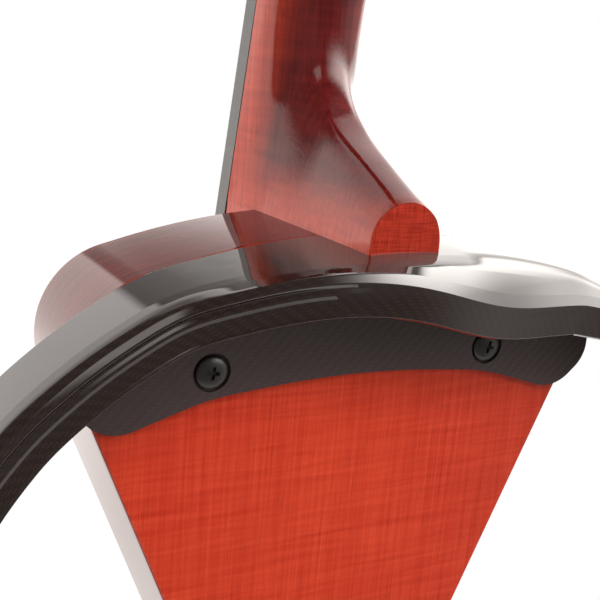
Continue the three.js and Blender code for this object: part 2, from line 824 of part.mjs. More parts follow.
// Key sections from the button to the nut: the base's place, the ridge's place, the half width at the base,
// and how much of the button's, the heel's and the neck's form each one has.
function neckKeys() {
  const glue = (s) => [onNeck(0, 0, s).y, onNeck(0, 0, s).z];
  const back = (s, depth) => [onNeck(0, depth, s).y, onNeck(0, depth, s).z];
  const span = buttonReach - glueY;
  const along = (share) => [buttonReach - span * share, seatGap];
  const ridge = (share, height) => [buttonReach - span * share, height * buttonHeight];
  const wide = (share) => (buttonWidth + (neckWidthAtBody - 4 - buttonWidth) * share) / 2;
  return [
    { base: along(0), ridge: ridge(0, 1), half: wide(0), form: [1, 0, 0] },
    { base: along(0.24), ridge: ridge(0.24, 1.37), half: wide(0.22), form: [0.5, 0.5, 0] },
    { base: along(0.5), ridge: ridge(0.48, 1.88), half: wide(0.5), form: [0.1, 0.9, 0] },
    { base: along(0.76), ridge: ridge(0.59, 2.38), half: wide(0.76), form: [0, 1, 0] },
    { base: along(1), ridge: ridge(0.65, 3), half: wide(0.98), form: [0, 0.95, 0.05] },
    { base: glue(31), ridge: ridge(0.672, 3.8), half: wide(1.02), form: [0, 0.7, 0.3] },
    { base: glue(63), ridge: ridge(0.668, 4.75), half: wide(1.02), form: [0, 0.35, 0.65] },
    { base: glue(96), ridge: back(98, neckDepthAtHeel), half: neckWidth(96) / 2, form: [0, 0.1, 0.9] },
    { base: glue(130), ridge: back(130, neckDepthAtHeel - 0.5), half: neckWidth(130) / 2, form: [0, 0, 1] },
    {
      base: glue(neckLength),
      ridge: back(neckLength, neckDepthAtNut),
      half: neckWidthAtNut / 2,
      form: [0, 0, 1],
    },
  ];
}

function neckSection(base, ridge, half, form) {
  const side = sectionHeightShares.map((height, i) => {
    const shares = [buttonWidthShares[i], heelWidthShares[i], neckWidthShares[i]];
    const width = shares.reduce((sum, share, k) => sum + form[k] * share, 0);
    const point = base.clone().lerp(ridge, height);
    return at(half * width, point.y, point.z);
  });
  const other = side.map((point) => at(-point.x, point.y, point.z)).reverse();
  return [...side, ...other];
}

function neckBlank() {
  const keys = neckKeys();
  const ridgeCurve = new THREE.CatmullRomCurve3(
    keys.map((key) => at(0, ...key.ridge)),
    false,
    "catmullrom",
    0.5,
  );
  const rings = [];
  const steps = (keys.length - 1) * heelStationsPerKey;
  for (let i = 0; i <= steps; i += 1) {
    const place = i / heelStationsPerKey;
    const index = Math.min(Math.floor(place), keys.length - 2);
    const share = place - index;
    const [from, to] = [keys[index], keys[index + 1]];
    const base = at(0, ...from.base).lerp(at(0, ...to.base), share);
    const half = THREE.MathUtils.lerp(from.half, to.half, share);
    const form = from.form.map((value, k) => THREE.MathUtils.lerp(value, to.form[k], share));
    rings.push(neckSection(base, ridgeCurve.getPoint(i / steps), half, form));
  }
  return loft(rings);
}

// The root stands in front of the core's face and carries a tenon in the core's mortise.
function neckRoot() {
  const front = (s) => onNeck(0, 0, s);
  const face = -coreDepth - seatGap;
  const profile = [
    front(rootLap),
    front(-rootDrop),
    at(0, face, -rootDrop - overstand / 2),
    at(0, face, rootLap),
  ];
  const ring = (x) => profile.map((point) => at(x, point.y, point.z));
  const tenon = box(
    at(-tenonHalfWidth, -coreDepth - cutOverrun, -tenonDrop),
    at(tenonHalfWidth, -coreDepth + tenonLength, cutOverrun),
  );
  return [loft([ring(-rootHalfWidth), ring(rootHalfWidth)]), tenon];
}

// Pegbox: a tapered block along the neck's line that leans back, hollowed from the front.
function pegboxBlank() {
  const stations = [
    [-0.06, 0.5],
    [0, 0.72],
    [0.12, 0.9],
    [0.3, 1],
    [0.6, 1],
    [0.85, 0.92],
    [1, 0.84],
  ];
  const rings = stations.map(([share, deep]) => {
    const s = neckLength + share * pegboxLength;
    const lean = pegboxLean * Math.max(share, 0) ** 2;
    const width = pegboxWidthAtNut + (pegboxWidthAtTop - pegboxWidthAtNut) * Math.max(share, 0);
    const half = share < 0 ? neckWidthAtNut / 2 : width / 2;
    const chamfer = half * 0.3;
    const back = lean + pegboxDepth * deep;
    return [
      onNeck(half, lean, s),
      onNeck(half, back - chamfer, s),
      onNeck(half - chamfer, back, s),
      onNeck(-half + chamfer, back, s),
      onNeck(-half, back - chamfer, s),
      onNeck(-half, lean, s),
    ];
  });
  return loft(rings);
}

const channelShares = [0.055, 0.5, 0.92];

function pegboxChannel() {
  const rings = channelShares.map((share) => {
    const s = neckLength + share * pegboxLength;
    const lean = pegboxLean * share ** 2;
    const width = pegboxWidthAtNut + (pegboxWidthAtTop - pegboxWidthAtNut) * share;
    const half = width / 2 - pegboxWall;
    const floor = lean + pegboxDepth - pegboxFloor;
    return [
      onNeck(half, lean - cutOverrun, s),
      onNeck(half, floor, s),
      onNeck(-half, floor, s),
      onNeck(-half, lean - cutOverrun, s),
    ];
  });
  return loft(rings);
}

// Scroll: two stepped turns of a spiral that widen towards the eye.
const scrollSteps = 18;
const scrollStart = THREE.MathUtils.degToRad(-30);
const outerTurnShares = [1, 0.7];
const innerTurnShares = [0.66, 0.42];
const scrollLeanShare = 0.15;
const scrollRiseShare = 0.72;

function spiralTurn(outer, inner) {
  return Array.from({ length: scrollSteps }, (_, i) => {
    const share = i / (scrollSteps - 1);
    const angle = scrollStart + 2 * Math.PI * share;
    const radius = outer * (inner / outer) ** share;
    return new THREE.Vector2(radius * Math.cos(angle), radius * Math.sin(angle));
  });
}

function scrollParts() {
  const centreD = pegboxLean + scrollRadius * scrollLeanShare;
  const centreS = neckLength + pegboxLength + scrollRadius * scrollRiseShare;
  const layers = [
    [spiralTurn(...outerTurnShares.map((share) => share * scrollRadius)), scrollTurnWidth],
    [spiralTurn(...innerTurnShares.map((share) => share * scrollRadius)), scrollInnerWidth],
  ];
  const discs = layers.map(([points, width]) => {
    const geometry = new THREE.ExtrudeGeometry(new THREE.Shape(points), {
      depth: width,
      bevelEnabled: false,
      curveSegments: 1,
    });
    return geometry.translate(0, 0, -width / 2);
  });
  const eye = rod(scrollEyeRadius, -scrollEyeWidth / 2, scrollEyeWidth / 2);
  // A disc's x and y become d and s of the neck's frame, and its thickness lies along x.
  const turn = new THREE.Matrix4().makeBasis(at(0, 1, 0), at(0, 0, 1), at(1, 0, 0));
  return [...discs, eye].map((geometry) =>
    geometry.applyMatrix4(turn).translate(0, centreD, centreS).applyMatrix4(neckMatrix()),
  );
}

// Pegs: name, side of the head and place along the pegbox.
const pegs = [
  { name: "c", side: -1, along: firstPegAlong },
  { name: "a", side: 1, along: firstPegAlong + pegStagger },
  { name: "g", side: -1, along: firstPegAlong + pegPitch + pegStagger },
  { name: "d", side: 1, along: firstPegAlong + pegPitch + 2 * pegStagger },
];

function pegPlace(peg) {
  const share = peg.along / pegboxLength;
  const half = (pegboxWidthAtNut + (pegboxWidthAtTop - pegboxWidthAtNut) * share) / 2;
  return { d: pegboxLean * share ** 2 + pegDepth, s: neckLength + peg.along, half };
}

function pegRadius(x, side, half) {
  const share = THREE.MathUtils.clamp((side * x + half) / (2 * half), 0, 1);
  return pegRadiusAtTip + (pegRadiusAtHead - pegRadiusAtTip) * share;
}

function pegSolid(peg) {
  const { half } = pegPlace(peg);
  const collar = half + 2 * seatGap;
  const headStart = collar + pegCollarLength + pegNeckLength;
  const shaft = turned(
    [
      [0, -half - pegTipOut],
      [pegRadiusAtTip * 0.8, -half - pegTipOut],
      [pegRadiusAtTip, -half],
      [pegRadiusAtHead, half],
      [pegRadiusAtHead, collar],
      [pegCollarRadius, collar],
      [pegCollarRadius, collar + pegCollarLength],
      [pegRadiusAtTip * 0.9, collar + 2 * pegCollarLength],
      [pegRadiusAtTip, headStart + 2 * pegCollarLength],
      [0, headStart + 3 * pegCollarLength],
    ],
    "x",
    smallSides,
  );
  const head = new THREE.SphereGeometry(1, turnedSides, turnedSides / 2)
    .scale(pegHeadLength / 2, pegHeadHalfWidth, pegHeadThickness / 2)
    .translate(headStart + pegHeadLength / 2, 0, 0);
  const whole = join(shaft, head);
  return peg.side < 0 ? whole.rotateZ(Math.PI) : whole;
}

function pegHoles() {
  return pegs.map((peg) => {
    const { d, s, half } = pegPlace(peg);
    const reach = half + cutOverrun;
    const hole = turned(
      [
        [0, -reach],
        [pegRadius(-peg.side * reach, peg.side, half) + seatGap, -reach],
        [pegRadiusAtTip + seatGap, -half],
        [pegRadiusAtHead + seatGap, half],
        [pegRadiusAtHead + seatGap, reach],
        [0, reach],
      ],
      "x",
    );
    if (peg.side < 0) hole.rotateZ(Math.PI);
    return hole.translate(0, d, s).applyMatrix4(neckMatrix());
  });
}

const neckWhole = join(neckBlank(), ...neckRoot(), pegboxBlank(), ...scrollParts());
piece("neck", cut(neckWhole, pegboxChannel(), ...pegHoles()), mapleRed);

for (const peg of pegs) {
  const { d, s } = pegPlace(peg);
  const mesh = piece("peg_" + peg.name, pegSolid(peg), ebony);
  mesh.position.copy(onNeck(0, d, s));
  mesh.rotation.x = -neckAngle;
}

// Fingerboard: an arched strip over the neck and out over the core, hollowed below its free end.
const boardArchShares = [1, 0.6, 0.2, -0.2, -0.6, -1];

function boardHalf(s) {
  const share = (neckLength - s) / boardLength;
  return (neckWidthAtNut + (boardWidthAtEnd - neckWidthAtNut) * share) / 2;
}

function archRise(half, x) {
  return Math.sqrt(boardArchRadius ** 2 - x ** 2) - Math.sqrt(boardArchRadius ** 2 - half ** 2);
}

function fingerboardSolid() {
  const freeStart = -rootDrop - cutOverrun;
  const places = [neckLength, neckLength / 2, 0, freeStart, freeStart - cutOverrun, neckLength - boardLength];
  const rings = places.map((s, i) => {
    const half = boardHalf(s);
    const hollow = i > 3 ? boardHollow : 0;
    const top = boardArchShares.map((share) => {
      const x = share * half;
      return onNeck(x, -seatGap - boardEdgeThickness - archRise(half, x), s);
    });
    const under = [-1, -0.8, -0.5, 0.5, 0.8, 1].map((share, k) => {
      const depth = k === 2 || k === 3 ? hollow : 0;
      return onNeck(share * half, -seatGap - depth, s);
    });
    return [...top, ...under];
  });
  return loft(rings);
}

piece("fingerboard", fingerboardSolid(), ebony);

function nutSolid() {
  const half = neckWidthAtNut / 2;
  const start = neckLength + seatGap;
  const rings = [0, 1].map((end) => {
    const lift = end ? nutRise / 2 : nutRise;
    const s = start + end * nutLength;
    const top = boardArchShares.map((share) => {
      const x = share * half;
      return onNeck(x, -seatGap - boardEdgeThickness - archRise(half, x) - lift, s);
    });
    return [...top, onNeck(-half, -seatGap, s), onNeck(half, -seatGap, s)];
  });
  return loft(rings);
}

piece("nut", nutSolid(), ebony);

// Bridge: a flat cut-out between the strings and the pickup, thinner towards the strings.
const stringNames = ["c", "g", "d", "a"];
const stringShares = [-0.5, -1 / 6, 1 / 6, 0.5];

function bridgeSag(x) {
  return bridgeArchRadius - Math.sqrt(bridgeArchRadius ** 2 - x ** 2);
}

function bridgeOutline() {
  const topShares = [1, 0.66, 0.33, 0];
  const top = topShares.map((share) => {
    const x = share * bridgeTopHalfWidth;
    return [x, bridgeHeight - bridgeSag(x), 0];
  });
  const outer = [
    [bridgeFootHalfWidth - bridgeFootLength, 0, 0],
    [bridgeFootHalfWidth, 0, 0],
    [bridgeFootHalfWidth, bridgeFootHeight, 2],
    [bridgeFootHalfWidth * 0.76, bridgeFootHeight * 2.4, 8],
    [bridgeWaistHalfWidth * 1.35, bridgeHeight * 0.47, 8],
    [bridgeWaistHalfWidth * 1.5, bridgeHeight * 0.62, 6],
    ...top,
  ];
  const right = outer.slice(0, -1);
  const left = right.map(([x, y, radius]) => [-x, y, radius]).reverse();
  const arch = [
    [-(bridgeFootHalfWidth - bridgeFootLength) * 0.9, bridgeLegArch * 0.6, 6],
    [0, bridgeLegArch, 9],
    [(bridgeFootHalfWidth - bridgeFootLength) * 0.9, bridgeLegArch * 0.6, 6],
  ];
  return roundedOutline([...right, [0, bridgeHeight, 0], ...left, ...arch]);
}

function bridgeSolid() {
  const shape = new THREE.Shape(bridgeOutline());
  const hole = (x, y, radius, sides) => {
    const path = new THREE.Path();
    path.absarc(x, y, radius, 0, 2 * Math.PI, true);
    shape.holes.push(new THREE.Path(path.getPoints(sides)));
  };
  hole(0, bridgeHeight * 0.66, heartRadius, 8);
  hole(bridgeWaistHalfWidth, bridgeHeight * 0.4, kidneyRadius * 0.7, 7);
  hole(-bridgeWaistHalfWidth, bridgeHeight * 0.4, kidneyRadius * 0.7, 7);
  const geometry = new THREE.ExtrudeGeometry(shape, {
    depth: bridgeFootThickness,
    bevelEnabled: false,
    curveSegments: 1,
  }).translate(0, 0, -bridgeFootThickness / 2);
  const place = geometry.attributes.position;
  for (let i = 0; i < place.count; i += 1) {
    const share = place.getY(i) / bridgeHeight;
    const thickness = bridgeFootThickness + (bridgeTopThickness - bridgeFootThickness) * share;
    place.setZ(i, (place.getZ(i) * thickness) / bridgeFootThickness);
  }
  return geometry.rotateZ(Math.PI);
}

piece("bridge", bridgeSolid(), maplePale).position.set(0, bridgeFootY, bridgeCrest.z);

function pickupSolid() {
  return box(
    at(-bridgeFootHalfWidth, pickupY - pickupThickness, bridgeCrest.z - pickupWidth / 2),
    at(bridgeFootHalfWidth, pickupY, bridgeCrest.z + pickupWidth / 2),
  );
}

piece("bridge_pickup", pickupSolid(), blackOxide);

// Saddle at the core's lower front edge, and the tail frame: y is its front and z runs down to the saddle.
const saddleFrontY = -coreDepth - seatGap - saddleRise;
const saddleCordY = saddleFrontY - seatGap - tailCordRadius;
const saddleProfileShares = [[0, 1], [0.55, 1], [1, 0.72], [1, 0.25], [0.7, 0], [0, 0]];

function saddleSolid() {
  const ring = (x) =>
    saddleProfileShares.map(([out, up]) =>
      at(x, -coreDepth - seatGap - out * saddleRise, -coreLength + seatGap + up * saddleHeight),
    );
  return loft([ring(-saddleHalfWidth), ring(saddleHalfWidth)]);
}

piece("saddle", saddleSolid(), ebony);

const tailDrop = new THREE.Vector3().subVectors(
  at(0, saddleCordY, -coreLength + saddleHeight),
  bridgeCrest,
);
const tailDown = tailDrop.clone().normalize();
const tailFront = at(0, tailDown.z, -tailDown.y);
const tailpieceLength = tailDrop.length() - afterLength - tailCordSpan;
const tail = new THREE.Group();
tail.quaternion.setFromRotationMatrix(new THREE.Matrix4().makeBasis(at(1, 0, 0), tailFront, tailDown));
tail.position.copy(bridgeCrest).addScaledVector(tailDown, afterLength);
instrument.add(tail);

function fromTail(x, front, down) {
  return at(x, 0, 0)
    .add(tail.position)
    .addScaledVector(tailFront, front)
    .addScaledVector(tailDown, down);
}

// Tailpiece: an arched tongue that narrows downwards, slotted for the levers and bored for the cord.
const tailStationShares = [0, 0.03, 0.5, 0.96, 1];
const tailRoundShares = [0.88, 1, 1, 0.96, 0.75];
const tailArchShares = [1, 0.85, 0.45, 0, -0.45, -0.85, -1];
const tailUnder = -tailpieceThickness * 0.45;
const tunerPlaces = stringShares.map((share) => share * tunerSpread);

function tailpieceSolid() {
  const rings = tailStationShares.map((share, i) => {
    const wide = tailpieceTopHalfWidth + (tailpieceEndHalfWidth - tailpieceTopHalfWidth) * share;
    const half = wide * tailRoundShares[i];
    const down = share * tailpieceLength;
    const top = tailArchShares.map((across) =>
      at(across * half, tailUnder + tailpieceThickness * (1 - tailArchDrop * across ** 2), down),
    );
    return [...top, at(-half, tailUnder, down), at(half, tailUnder, down)];
  });
  const reach = tailpieceThickness + cutOverrun;
  const slots = tunerPlaces.map((x) =>
    box(
      at(x - tunerSlotWidth / 2, -reach, tunerSlotStart),
      at(x + tunerSlotWidth / 2, reach, tunerSlotStart + tunerSlotLength),
    ),
  );
  const screwHoles = tunerPlaces.map((x) =>
    rod(tunerScrewRadius + seatGap, -reach, reach, "y", smallSides).translate(x, 0, tunerScrewPlace),
  );
  const pinReach = tailpieceTopHalfWidth + cutOverrun;
  const pinHole = rod(pivotPinRadius + seatGap, -pinReach, pinReach, "x", smallSides)
    .translate(0, 0, leverPivot);
  const holdStart = tailpieceLength - tailCordHold;
  const cordHoles = [-1, 1].map((side) =>
    rod(tailCordRadius + seatGap, holdStart, tailpieceLength + cutOverrun, "z", smallSides)
      .translate(side * tailCordHalfSpan, 0, 0),
  );
  return cut(loft(rings), ...slots, ...screwHoles, pinHole, ...cordHoles);
}

piece("tailpiece", tailpieceSolid(), ebony, tail);
const pinHalf = tailpieceTopHalfWidth * 0.84;
const pivotPin = rod(pivotPinRadius, -pinHalf, pinHalf, "x", smallSides);
piece("tuner_pivot_pin", pivotPin, steel, tail).position.z = leverPivot;

// A flat piece from [front, down] pairs, standing across x.
function sideSolid(points, half) {
  const ring = (x) => points.map(([front, down]) => at(x, front, down));
  return loft([ring(-half), ring(half)]);
}

// Lever: a claw above the tailpiece, a pivot in its slot and a tail below it under the screw's tip.
const leverProfile = [
  [clawHeight + clawTip, -clawBack - clawThickness],
  [clawHeight + clawTip, -clawBack],
  [clawHeight - ballRadius - 2 * seatGap, -clawBack],
  [clawHeight * 0.4, -clawBack * 0.35],
  [pivotPinRadius * 2.2, pivotPinRadius * 2],
  [-leverTailDepth * 0.5, leverTail * 0.25],
  [-leverTailDepth, leverTail],
  [-leverTailDepth, leverTail + leverBar],
  [-leverTailDepth - leverBar * 0.75, leverTail + leverBar],
  [-leverTailDepth * 0.5 - leverBar, leverTail * 0.2],
  [-pivotPinRadius * 2.2, -pivotPinRadius],
  [pivotPinRadius, -pivotPinRadius * 2.6],
];

function leverSolid() {
  const arm = sideSolid(leverProfile, leverThickness / 2);
  const claw = box(
    at(-clawHalfWidth, clawHeight - clawTip, -clawBack - clawThickness),
    at(clawHalfWidth, clawHeight + clawTip, -clawBack),
  );
  const slot = box(
    at(-clawSlotWidth / 2, clawHeight - clawSlotWidth / 2, -clawBack - clawThickness - cutOverrun),
    at(clawSlotWidth / 2, clawHeight + clawTip + cutOverrun, -clawBack + cutOverrun),
  );
  const pinHole = rod(pivotPinRadius + seatGap, -leverThickness, leverThickness, "x", smallSides);
  return cut(join(arm, claw), slot, pinHole);
}

function tunerScrewSolid() {
  const tip = -leverTailDepth + 2 * seatGap;
  const head = tailUnder + tailpieceThickness + tunerScrewRise;
  return turned(
    [
      [0, tip],
      [tunerScrewRadius, tip],
      [tunerScrewRadius, head],
      [tunerScrewHead, head],
      [tunerScrewHead, head + tunerScrewHeadHeight],
      [tunerScrewHead * 0.8, head + tunerScrewHeadHeight * 1.15],
      [0, head + tunerScrewHeadHeight * 1.15],
    ],
    "y",
    smallSides,
  );
}

stringNames.forEach((name, i) => {
  const x = tunerPlaces[i];
  piece("tuner_lever_" + name, leverSolid(), steel, tail).position.set(x, 0, leverPivot);
  piece("tuner_screw_" + name, tunerScrewSolid(), steel, tail).position.set(x, 0, tunerScrewPlace);
});

// Strings: from a turn round the peg, over the nut and the bridge, to a ball behind the lever's claw.
function nutPoint(x, radius, end) {
  const half = neckWidthAtNut / 2;
  const lift = end ? nutRise / 2 : nutRise;
  const d = -seatGap - boardEdgeThickness - archRise(half, x) - lift - radius - seatGap / 2;
  return onNeck(x, d, neckLength + seatGap + end * nutLength);
}

function pegTurn(peg, from, radius, xNut) {
  const place = pegPlace(peg);
  const x = xNut * pegInsetShare;
  const flat = Math.cos(pegTurnAngle / pegTurnSteps / 2);
  const reach = (pegRadius(x, peg.side, place.half) + radius + seatGap) / flat;
  const start = new THREE.Vector2(from.s - place.s, from.d - place.d);
  const touch = Math.atan2(start.y, start.x) + Math.acos(reach / start.length());
  return Array.from({ length: pegTurnSteps + 1 }, (_, i) => {
    const angle = touch + (pegTurnAngle * i) / pegTurnSteps;
    const shift = (x * radius * i) / (pegTurnSteps * Math.abs(x));
    return onNeck(x - shift, place.d + reach * Math.sin(angle), place.s + reach * Math.cos(angle));
  });
}

function bridgePoint(x, radius, side) {
  const y = bridgeFootY - (bridgeHeight - bridgeSag(x)) - radius - seatGap / 2;
  return at(x, y, bridgeCrest.z + (side * bridgeTopThickness) / 2);
}

function stringSolid(i) {
  const name = stringNames[i];
  const share = stringShares[i];
  const radius = stringRadii[name];
  const peg = pegs.find((candidate) => candidate.name === name);
  const xNut = share * nutSpread;
  const xBridge = share * bridgeSpread;
  const nutD = seatGap * 1.5 + boardEdgeThickness + archRise(neckWidthAtNut / 2, xNut) + nutRise / 2 + radius;
  const leave = { d: -nutD, s: neckLength + seatGap + nutLength };
  const clawDown = leverPivot - clawBack;
  const ballDown = clawDown + ballRadius + ballClearance;
  const route = [
    ...pegTurn(peg, leave, radius, xNut).reverse(),
    nutPoint(xNut, radius, 1),
    nutPoint(xNut, radius, 0),
    bridgePoint(xBridge, radius, 1),
    bridgePoint(xBridge, radius, -1),
    fromTail(tunerPlaces[i], clawHeight, clawDown - clawThickness),
    fromTail(tunerPlaces[i], clawHeight, ballDown),
  ];
  const ball = new THREE.SphereGeometry(ballRadius, smallSides, smallSides / 2);
  const centre = fromTail(tunerPlaces[i], clawHeight, ballDown);
  ball.translate(centre.x, centre.y, centre.z);
  return join(tube(route, radius), ball);
}

stringNames.forEach((name, i) => {
  piece("string_" + name, stringSolid(i), steel);
});

// Tail cord: from the tailpiece over the saddle and round the neck of the endpin's socket.
function tailCordSolid() {
  const low = -coreLength - cordGroove / 2;
  const loop = (socketRadius + 2 * seatGap + tailCordRadius) / Math.cos(Math.PI / 4 / cordTurnSteps);
  const half = Array.from({ length: cordTurnSteps + 1 }, (_, i) => {
    const angle = (Math.PI / 2) * (i / cordTurnSteps);
    return at(loop * Math.cos(angle), -endpinInset + loop * Math.sin(angle), low);
  });
  const side = [
    fromTail(tailCordHalfSpan, 0, tailpieceLength - tailCordHold + seatGap),
    fromTail(tailCordHalfSpan, 0, tailpieceLength),
    at(tailCordHalfSpan, saddleCordY, -coreLength + saddleHeight),
    at(tailCordHalfSpan, saddleCordY, -coreLength + saddleHeight * 0.2),
    at(tailCordHalfSpan, saddleCordY + saddleRise * 0.35, low),
    ...half,
  ];
  const other = side.slice(0, -1).reverse().map((point) => at(-point.x, point.y, point.z));
  return tube([...side, ...other], tailCordRadius);
}

piece("tail_cord", tailCordSolid(), cordBlack);

// Endpin: a socket in the core's foot, a clamp screw, a sliding rod and a rubber foot.
const endpin = new THREE.Group();
endpin.position.set(0, -endpinInset, -coreLength);
instrument.add(endpin);

function socketSolid() {
  const low = -cordGroove - collarHeight;
  const body = turned(
    [
      [0, socketDepth],
      [socketRadius, socketDepth],
      [socketRadius, -cordGroove],
      [collarRadius, -cordGroove],
      [collarRadius, low + collarHeight * 0.3],
      [collarRadius * 0.8, low],
      [0, low],
    ].reverse(),
    "z",
    boreSides,
  );
  const bore = rod(rodRadius + rodClearance, low - cutOverrun, socketDepth + cutOverrun, "z", boreSides);
  const threadHole = rod(thumbScrewRadius + seatGap, 0, collarRadius + cutOverrun, "x")
    .translate(0, 0, thumbScrewZ);
  return cut(body, bore, threadHole);
}

piece("endpin_socket", socketSolid(), blackOxide, endpin);

const rodLow = -cordGroove - collarHeight - seatGap - footHeight + footWall;
piece("endpin_rod", rod(rodRadius, rodLow, rodLow + rodLength, "z", boreSides), steel, endpin);

function footSolid() {
  const low = -cordGroove - collarHeight - seatGap - footHeight;
  const body = turned(
    [
      [0, low],
      [footRadius * 0.6, low],
      [footRadius * 0.95, low + footHeight * 0.18],
      [footRadius, low + footHeight * 0.4],
      [footRadius * 0.9, low + footHeight * 0.75],
      [footRadius * 0.75, low + footHeight],
      [0, low + footHeight],
    ],
    "z",
    boreSides,
  );
  const holeLow = low + footWall - seatGap;
  const hole = rod(rodRadius + seatGap, holeLow, low + footHeight + cutOverrun, "z", boreSides);
  return cut(body, hole);
}

piece("endpin_foot", footSolid(), rubber, endpin);

// A round head with shallow grips, as an outline about the origin.
function gripOutline(radius, depth, grips) {
  return Array.from({ length: grips * 3 }, (_, i) => {
    const reach = radius - (i % 3 === 0 ? depth : 0);
    const angle = (Math.PI * 2 * i) / (grips * 3);
    return new THREE.Vector2(reach * Math.cos(angle), reach * Math.sin(angle));
  });
}

function gripHead(radius, depth, grips, from, to) {
  const geometry = new THREE.ExtrudeGeometry(new THREE.Shape(gripOutline(radius, depth, grips)), {
    depth: to - from,
    bevelEnabled: false,
    curveSegments: 1,
  });
  return geometry.translate(0, 0, from).rotateY(Math.PI / 2);
}

function thumbScrewSolid() {
  const tip = rodRadius + rodClearance;
  const head = collarRadius + seatGap;
  const shank = rod(thumbScrewRadius, tip, head + thumbHeadLength / 2, "x");
  return join(shank, gripHead(thumbHeadRadius, knobGripDepth, knobGrips, head, head + thumbHeadLength));
}

piece("endpin_thumbscrew", thumbScrewSolid(), blackOxide, endpin).position.z = thumbScrewZ;

// Controls on the treble side: a pot in the bay, its bush through the wall and a knob outside.
function potSolid() {
  const inner = bayHalfWidth - seatGap;
  const can = rod(potRadius, inner - potDepth, inner, "x");
  const bush = rod(potBushRadius, inner - potDepth / 2, stemHalfWidth, "x", smallSides);
  const bore = rod(spindleRadius + seatGap, inner - seatGap, stemHalfWidth + cutOverrun, "x", smallSides);
  return cut(join(can, bush), bore);
}

function knobSolid() {
  const low = stemHalfWidth + 2 * seatGap;
  const grip = gripHead(knobRadius, knobGripDepth, knobGrips, low, low + knobHeight * 0.8);
  const cap = turned(
    [
      [0, low + knobHeight * 0.5],
      [knobRadius * 0.85, low + knobHeight * 0.5],
      [knobRadius * 0.85, low + knobHeight * 0.9],
      [knobRadius * 0.75, low + knobHeight],
      [0, low + knobHeight],
    ],
    "x",
  );
  const spindle = rod(spindleRadius, bayHalfWidth, low + knobHeight / 2, "x", smallSides);
  return join(grip, cap, spindle);
}

["volume", "treble", "bass"].forEach((name, i) => {
  const z = -firstControl - i * controlPitch;
  piece(name + "_pot", potSolid(), steel).position.set(0, -controlDepth, z);
  piece(name + "_knob", knobSolid(), plastic).position.set(0, -controlDepth, z);
});

function jackSolid(barrel, flange, bore, depth) {
  const wall = stemHalfWidth;
  const body = turned(
    [
      [0, wall - depth],
      [barrel, wall - depth],
      [barrel, wall + seatGap],
      [flange, wall + seatGap],
      [flange, wall + seatGap + jackFlangeHeight],
      [0, wall + seatGap + jackFlangeHeight],
    ],
    "x",
    boreSides,
  );
  const hole = rod(bore, wall - depth + jackFlangeHeight, wall + jackFlangeHeight + cutOverrun, "x");
  return cut(body, hole);
}

const outputJack = jackSolid(jackBarrelRadius, jackFlangeRadius, jackBore, jackDepth);
const phonesJack = jackSolid(phonesBarrelRadius, phonesFlangeRadius, phonesBore, phonesDepth);
piece("output_jack", outputJack, steel).position.set(0, -controlDepth, -jackPlace);
piece("headphone_jack", phonesJack, steel).position.set(0, -controlDepth, -phonesPlace);

// Components by place across and along the board, then width, height and rise in chip sizes.
const chipPlaceShares = [
  [0.3, 0.2, 1.2, 1.6, 0.4],
  [0.7, 0.32, 1, 1, 0.9],
  [0.3, 0.5, 1.5, 1.5, 0.35],
  [0.72, 0.6, 0.8, 0.8, 1],
  [0.35, 0.8, 1, 1.8, 0.45],
  [0.75, 0.83, 0.7, 0.7, 0.9],
];

// Preamp board on four posts, with its larger components, under a screwed cover.
function preampBoardSolid() {
  const low = -bayTop - bayHeight + boardInset;
  const high = -bayTop - boardInset;
  const face = -bayDepth + circuitStandoff + circuitThickness;
  const left = -bayHalfWidth + boardEdge;
  const right = bayHalfWidth - boardRight;
  const plate = box(at(left, face - circuitThickness, low), at(right, face, high));
  const posts = [left + postInset, right - postInset].flatMap((x) =>
    [low + postInset, high - postInset].map((z) =>
      rod(postRadius, -bayDepth + seatGap, face - circuitThickness / 2, "y", smallSides).translate(x, 0, z),
    ),
  );
  const chips = chipPlaceShares.map(([across, along, wide, tall, rise]) => {
    const x = left + across * (right - left);
    const z = low + along * (high - low);
    return box(
      at(x - (wide * chipSize) / 2, face - circuitThickness / 2, z - (tall * chipSize) / 2),
      at(x + (wide * chipSize) / 2, face + rise * chipSize, z + (tall * chipSize) / 2),
    );
  });
  return join(plate, ...posts, ...chips);
}

piece("preamp_board", preampBoardSolid(), circuitGreen);

function preampCoverSolid() {
  const half = bayHalfWidth + coverLip - seatGap;
  const plate = box(
    at(-half, -coverThickness, -bayTop - bayHeight - coverLip + seatGap),
    at(half, 0, -bayTop + coverLip - seatGap),
  );
  const holes = coverScrewPlaces().map(([x, z]) =>
    turned(
      [
        [0, -coverThickness - cutOverrun],
        [coverScrewRadius + seatGap, -coverThickness - cutOverrun],
        [coverScrewRadius + seatGap, -coverThickness * 0.6],
        [coverScrewHead + seatGap, 0],
        [coverScrewHead + seatGap, cutOverrun],
        [0, cutOverrun],
      ],
      "y",
      smallSides,
    ).translate(x, 0, z),
  );
  return cut(plate, ...holes);
}

piece("preamp_cover", preampCoverSolid(), plastic);

function coverScrew() {
  const under = -coverThickness * 0.6 - seatGap / 2;
  const body = turned(
    [
      [0, -coverScrewLength],
      [coverScrewRadius, -coverScrewLength],
      [coverScrewRadius, under],
      [coverScrewHead, -seatGap / 2],
      [0, -seatGap / 2],
    ],
    "y",
    smallSides,
  );
  const wide = coverScrewHead * 0.6;
  const thin = coverScrewHead * 0.14;
  const deep = -coverThickness * 0.4;
  const slots = [
    box(at(-wide, deep, -thin), at(wide, cutOverrun, thin)),
    box(at(-thin, deep, -wide), at(thin, cutOverrun, wide)),
  ];
  return cut(body, ...slots);
}

coverScrewPlaces().forEach(([x, z], i) => {
  piece("cover_screw_" + (i + 1), coverScrew(), blackOxide).position.set(x, 0, z);
});

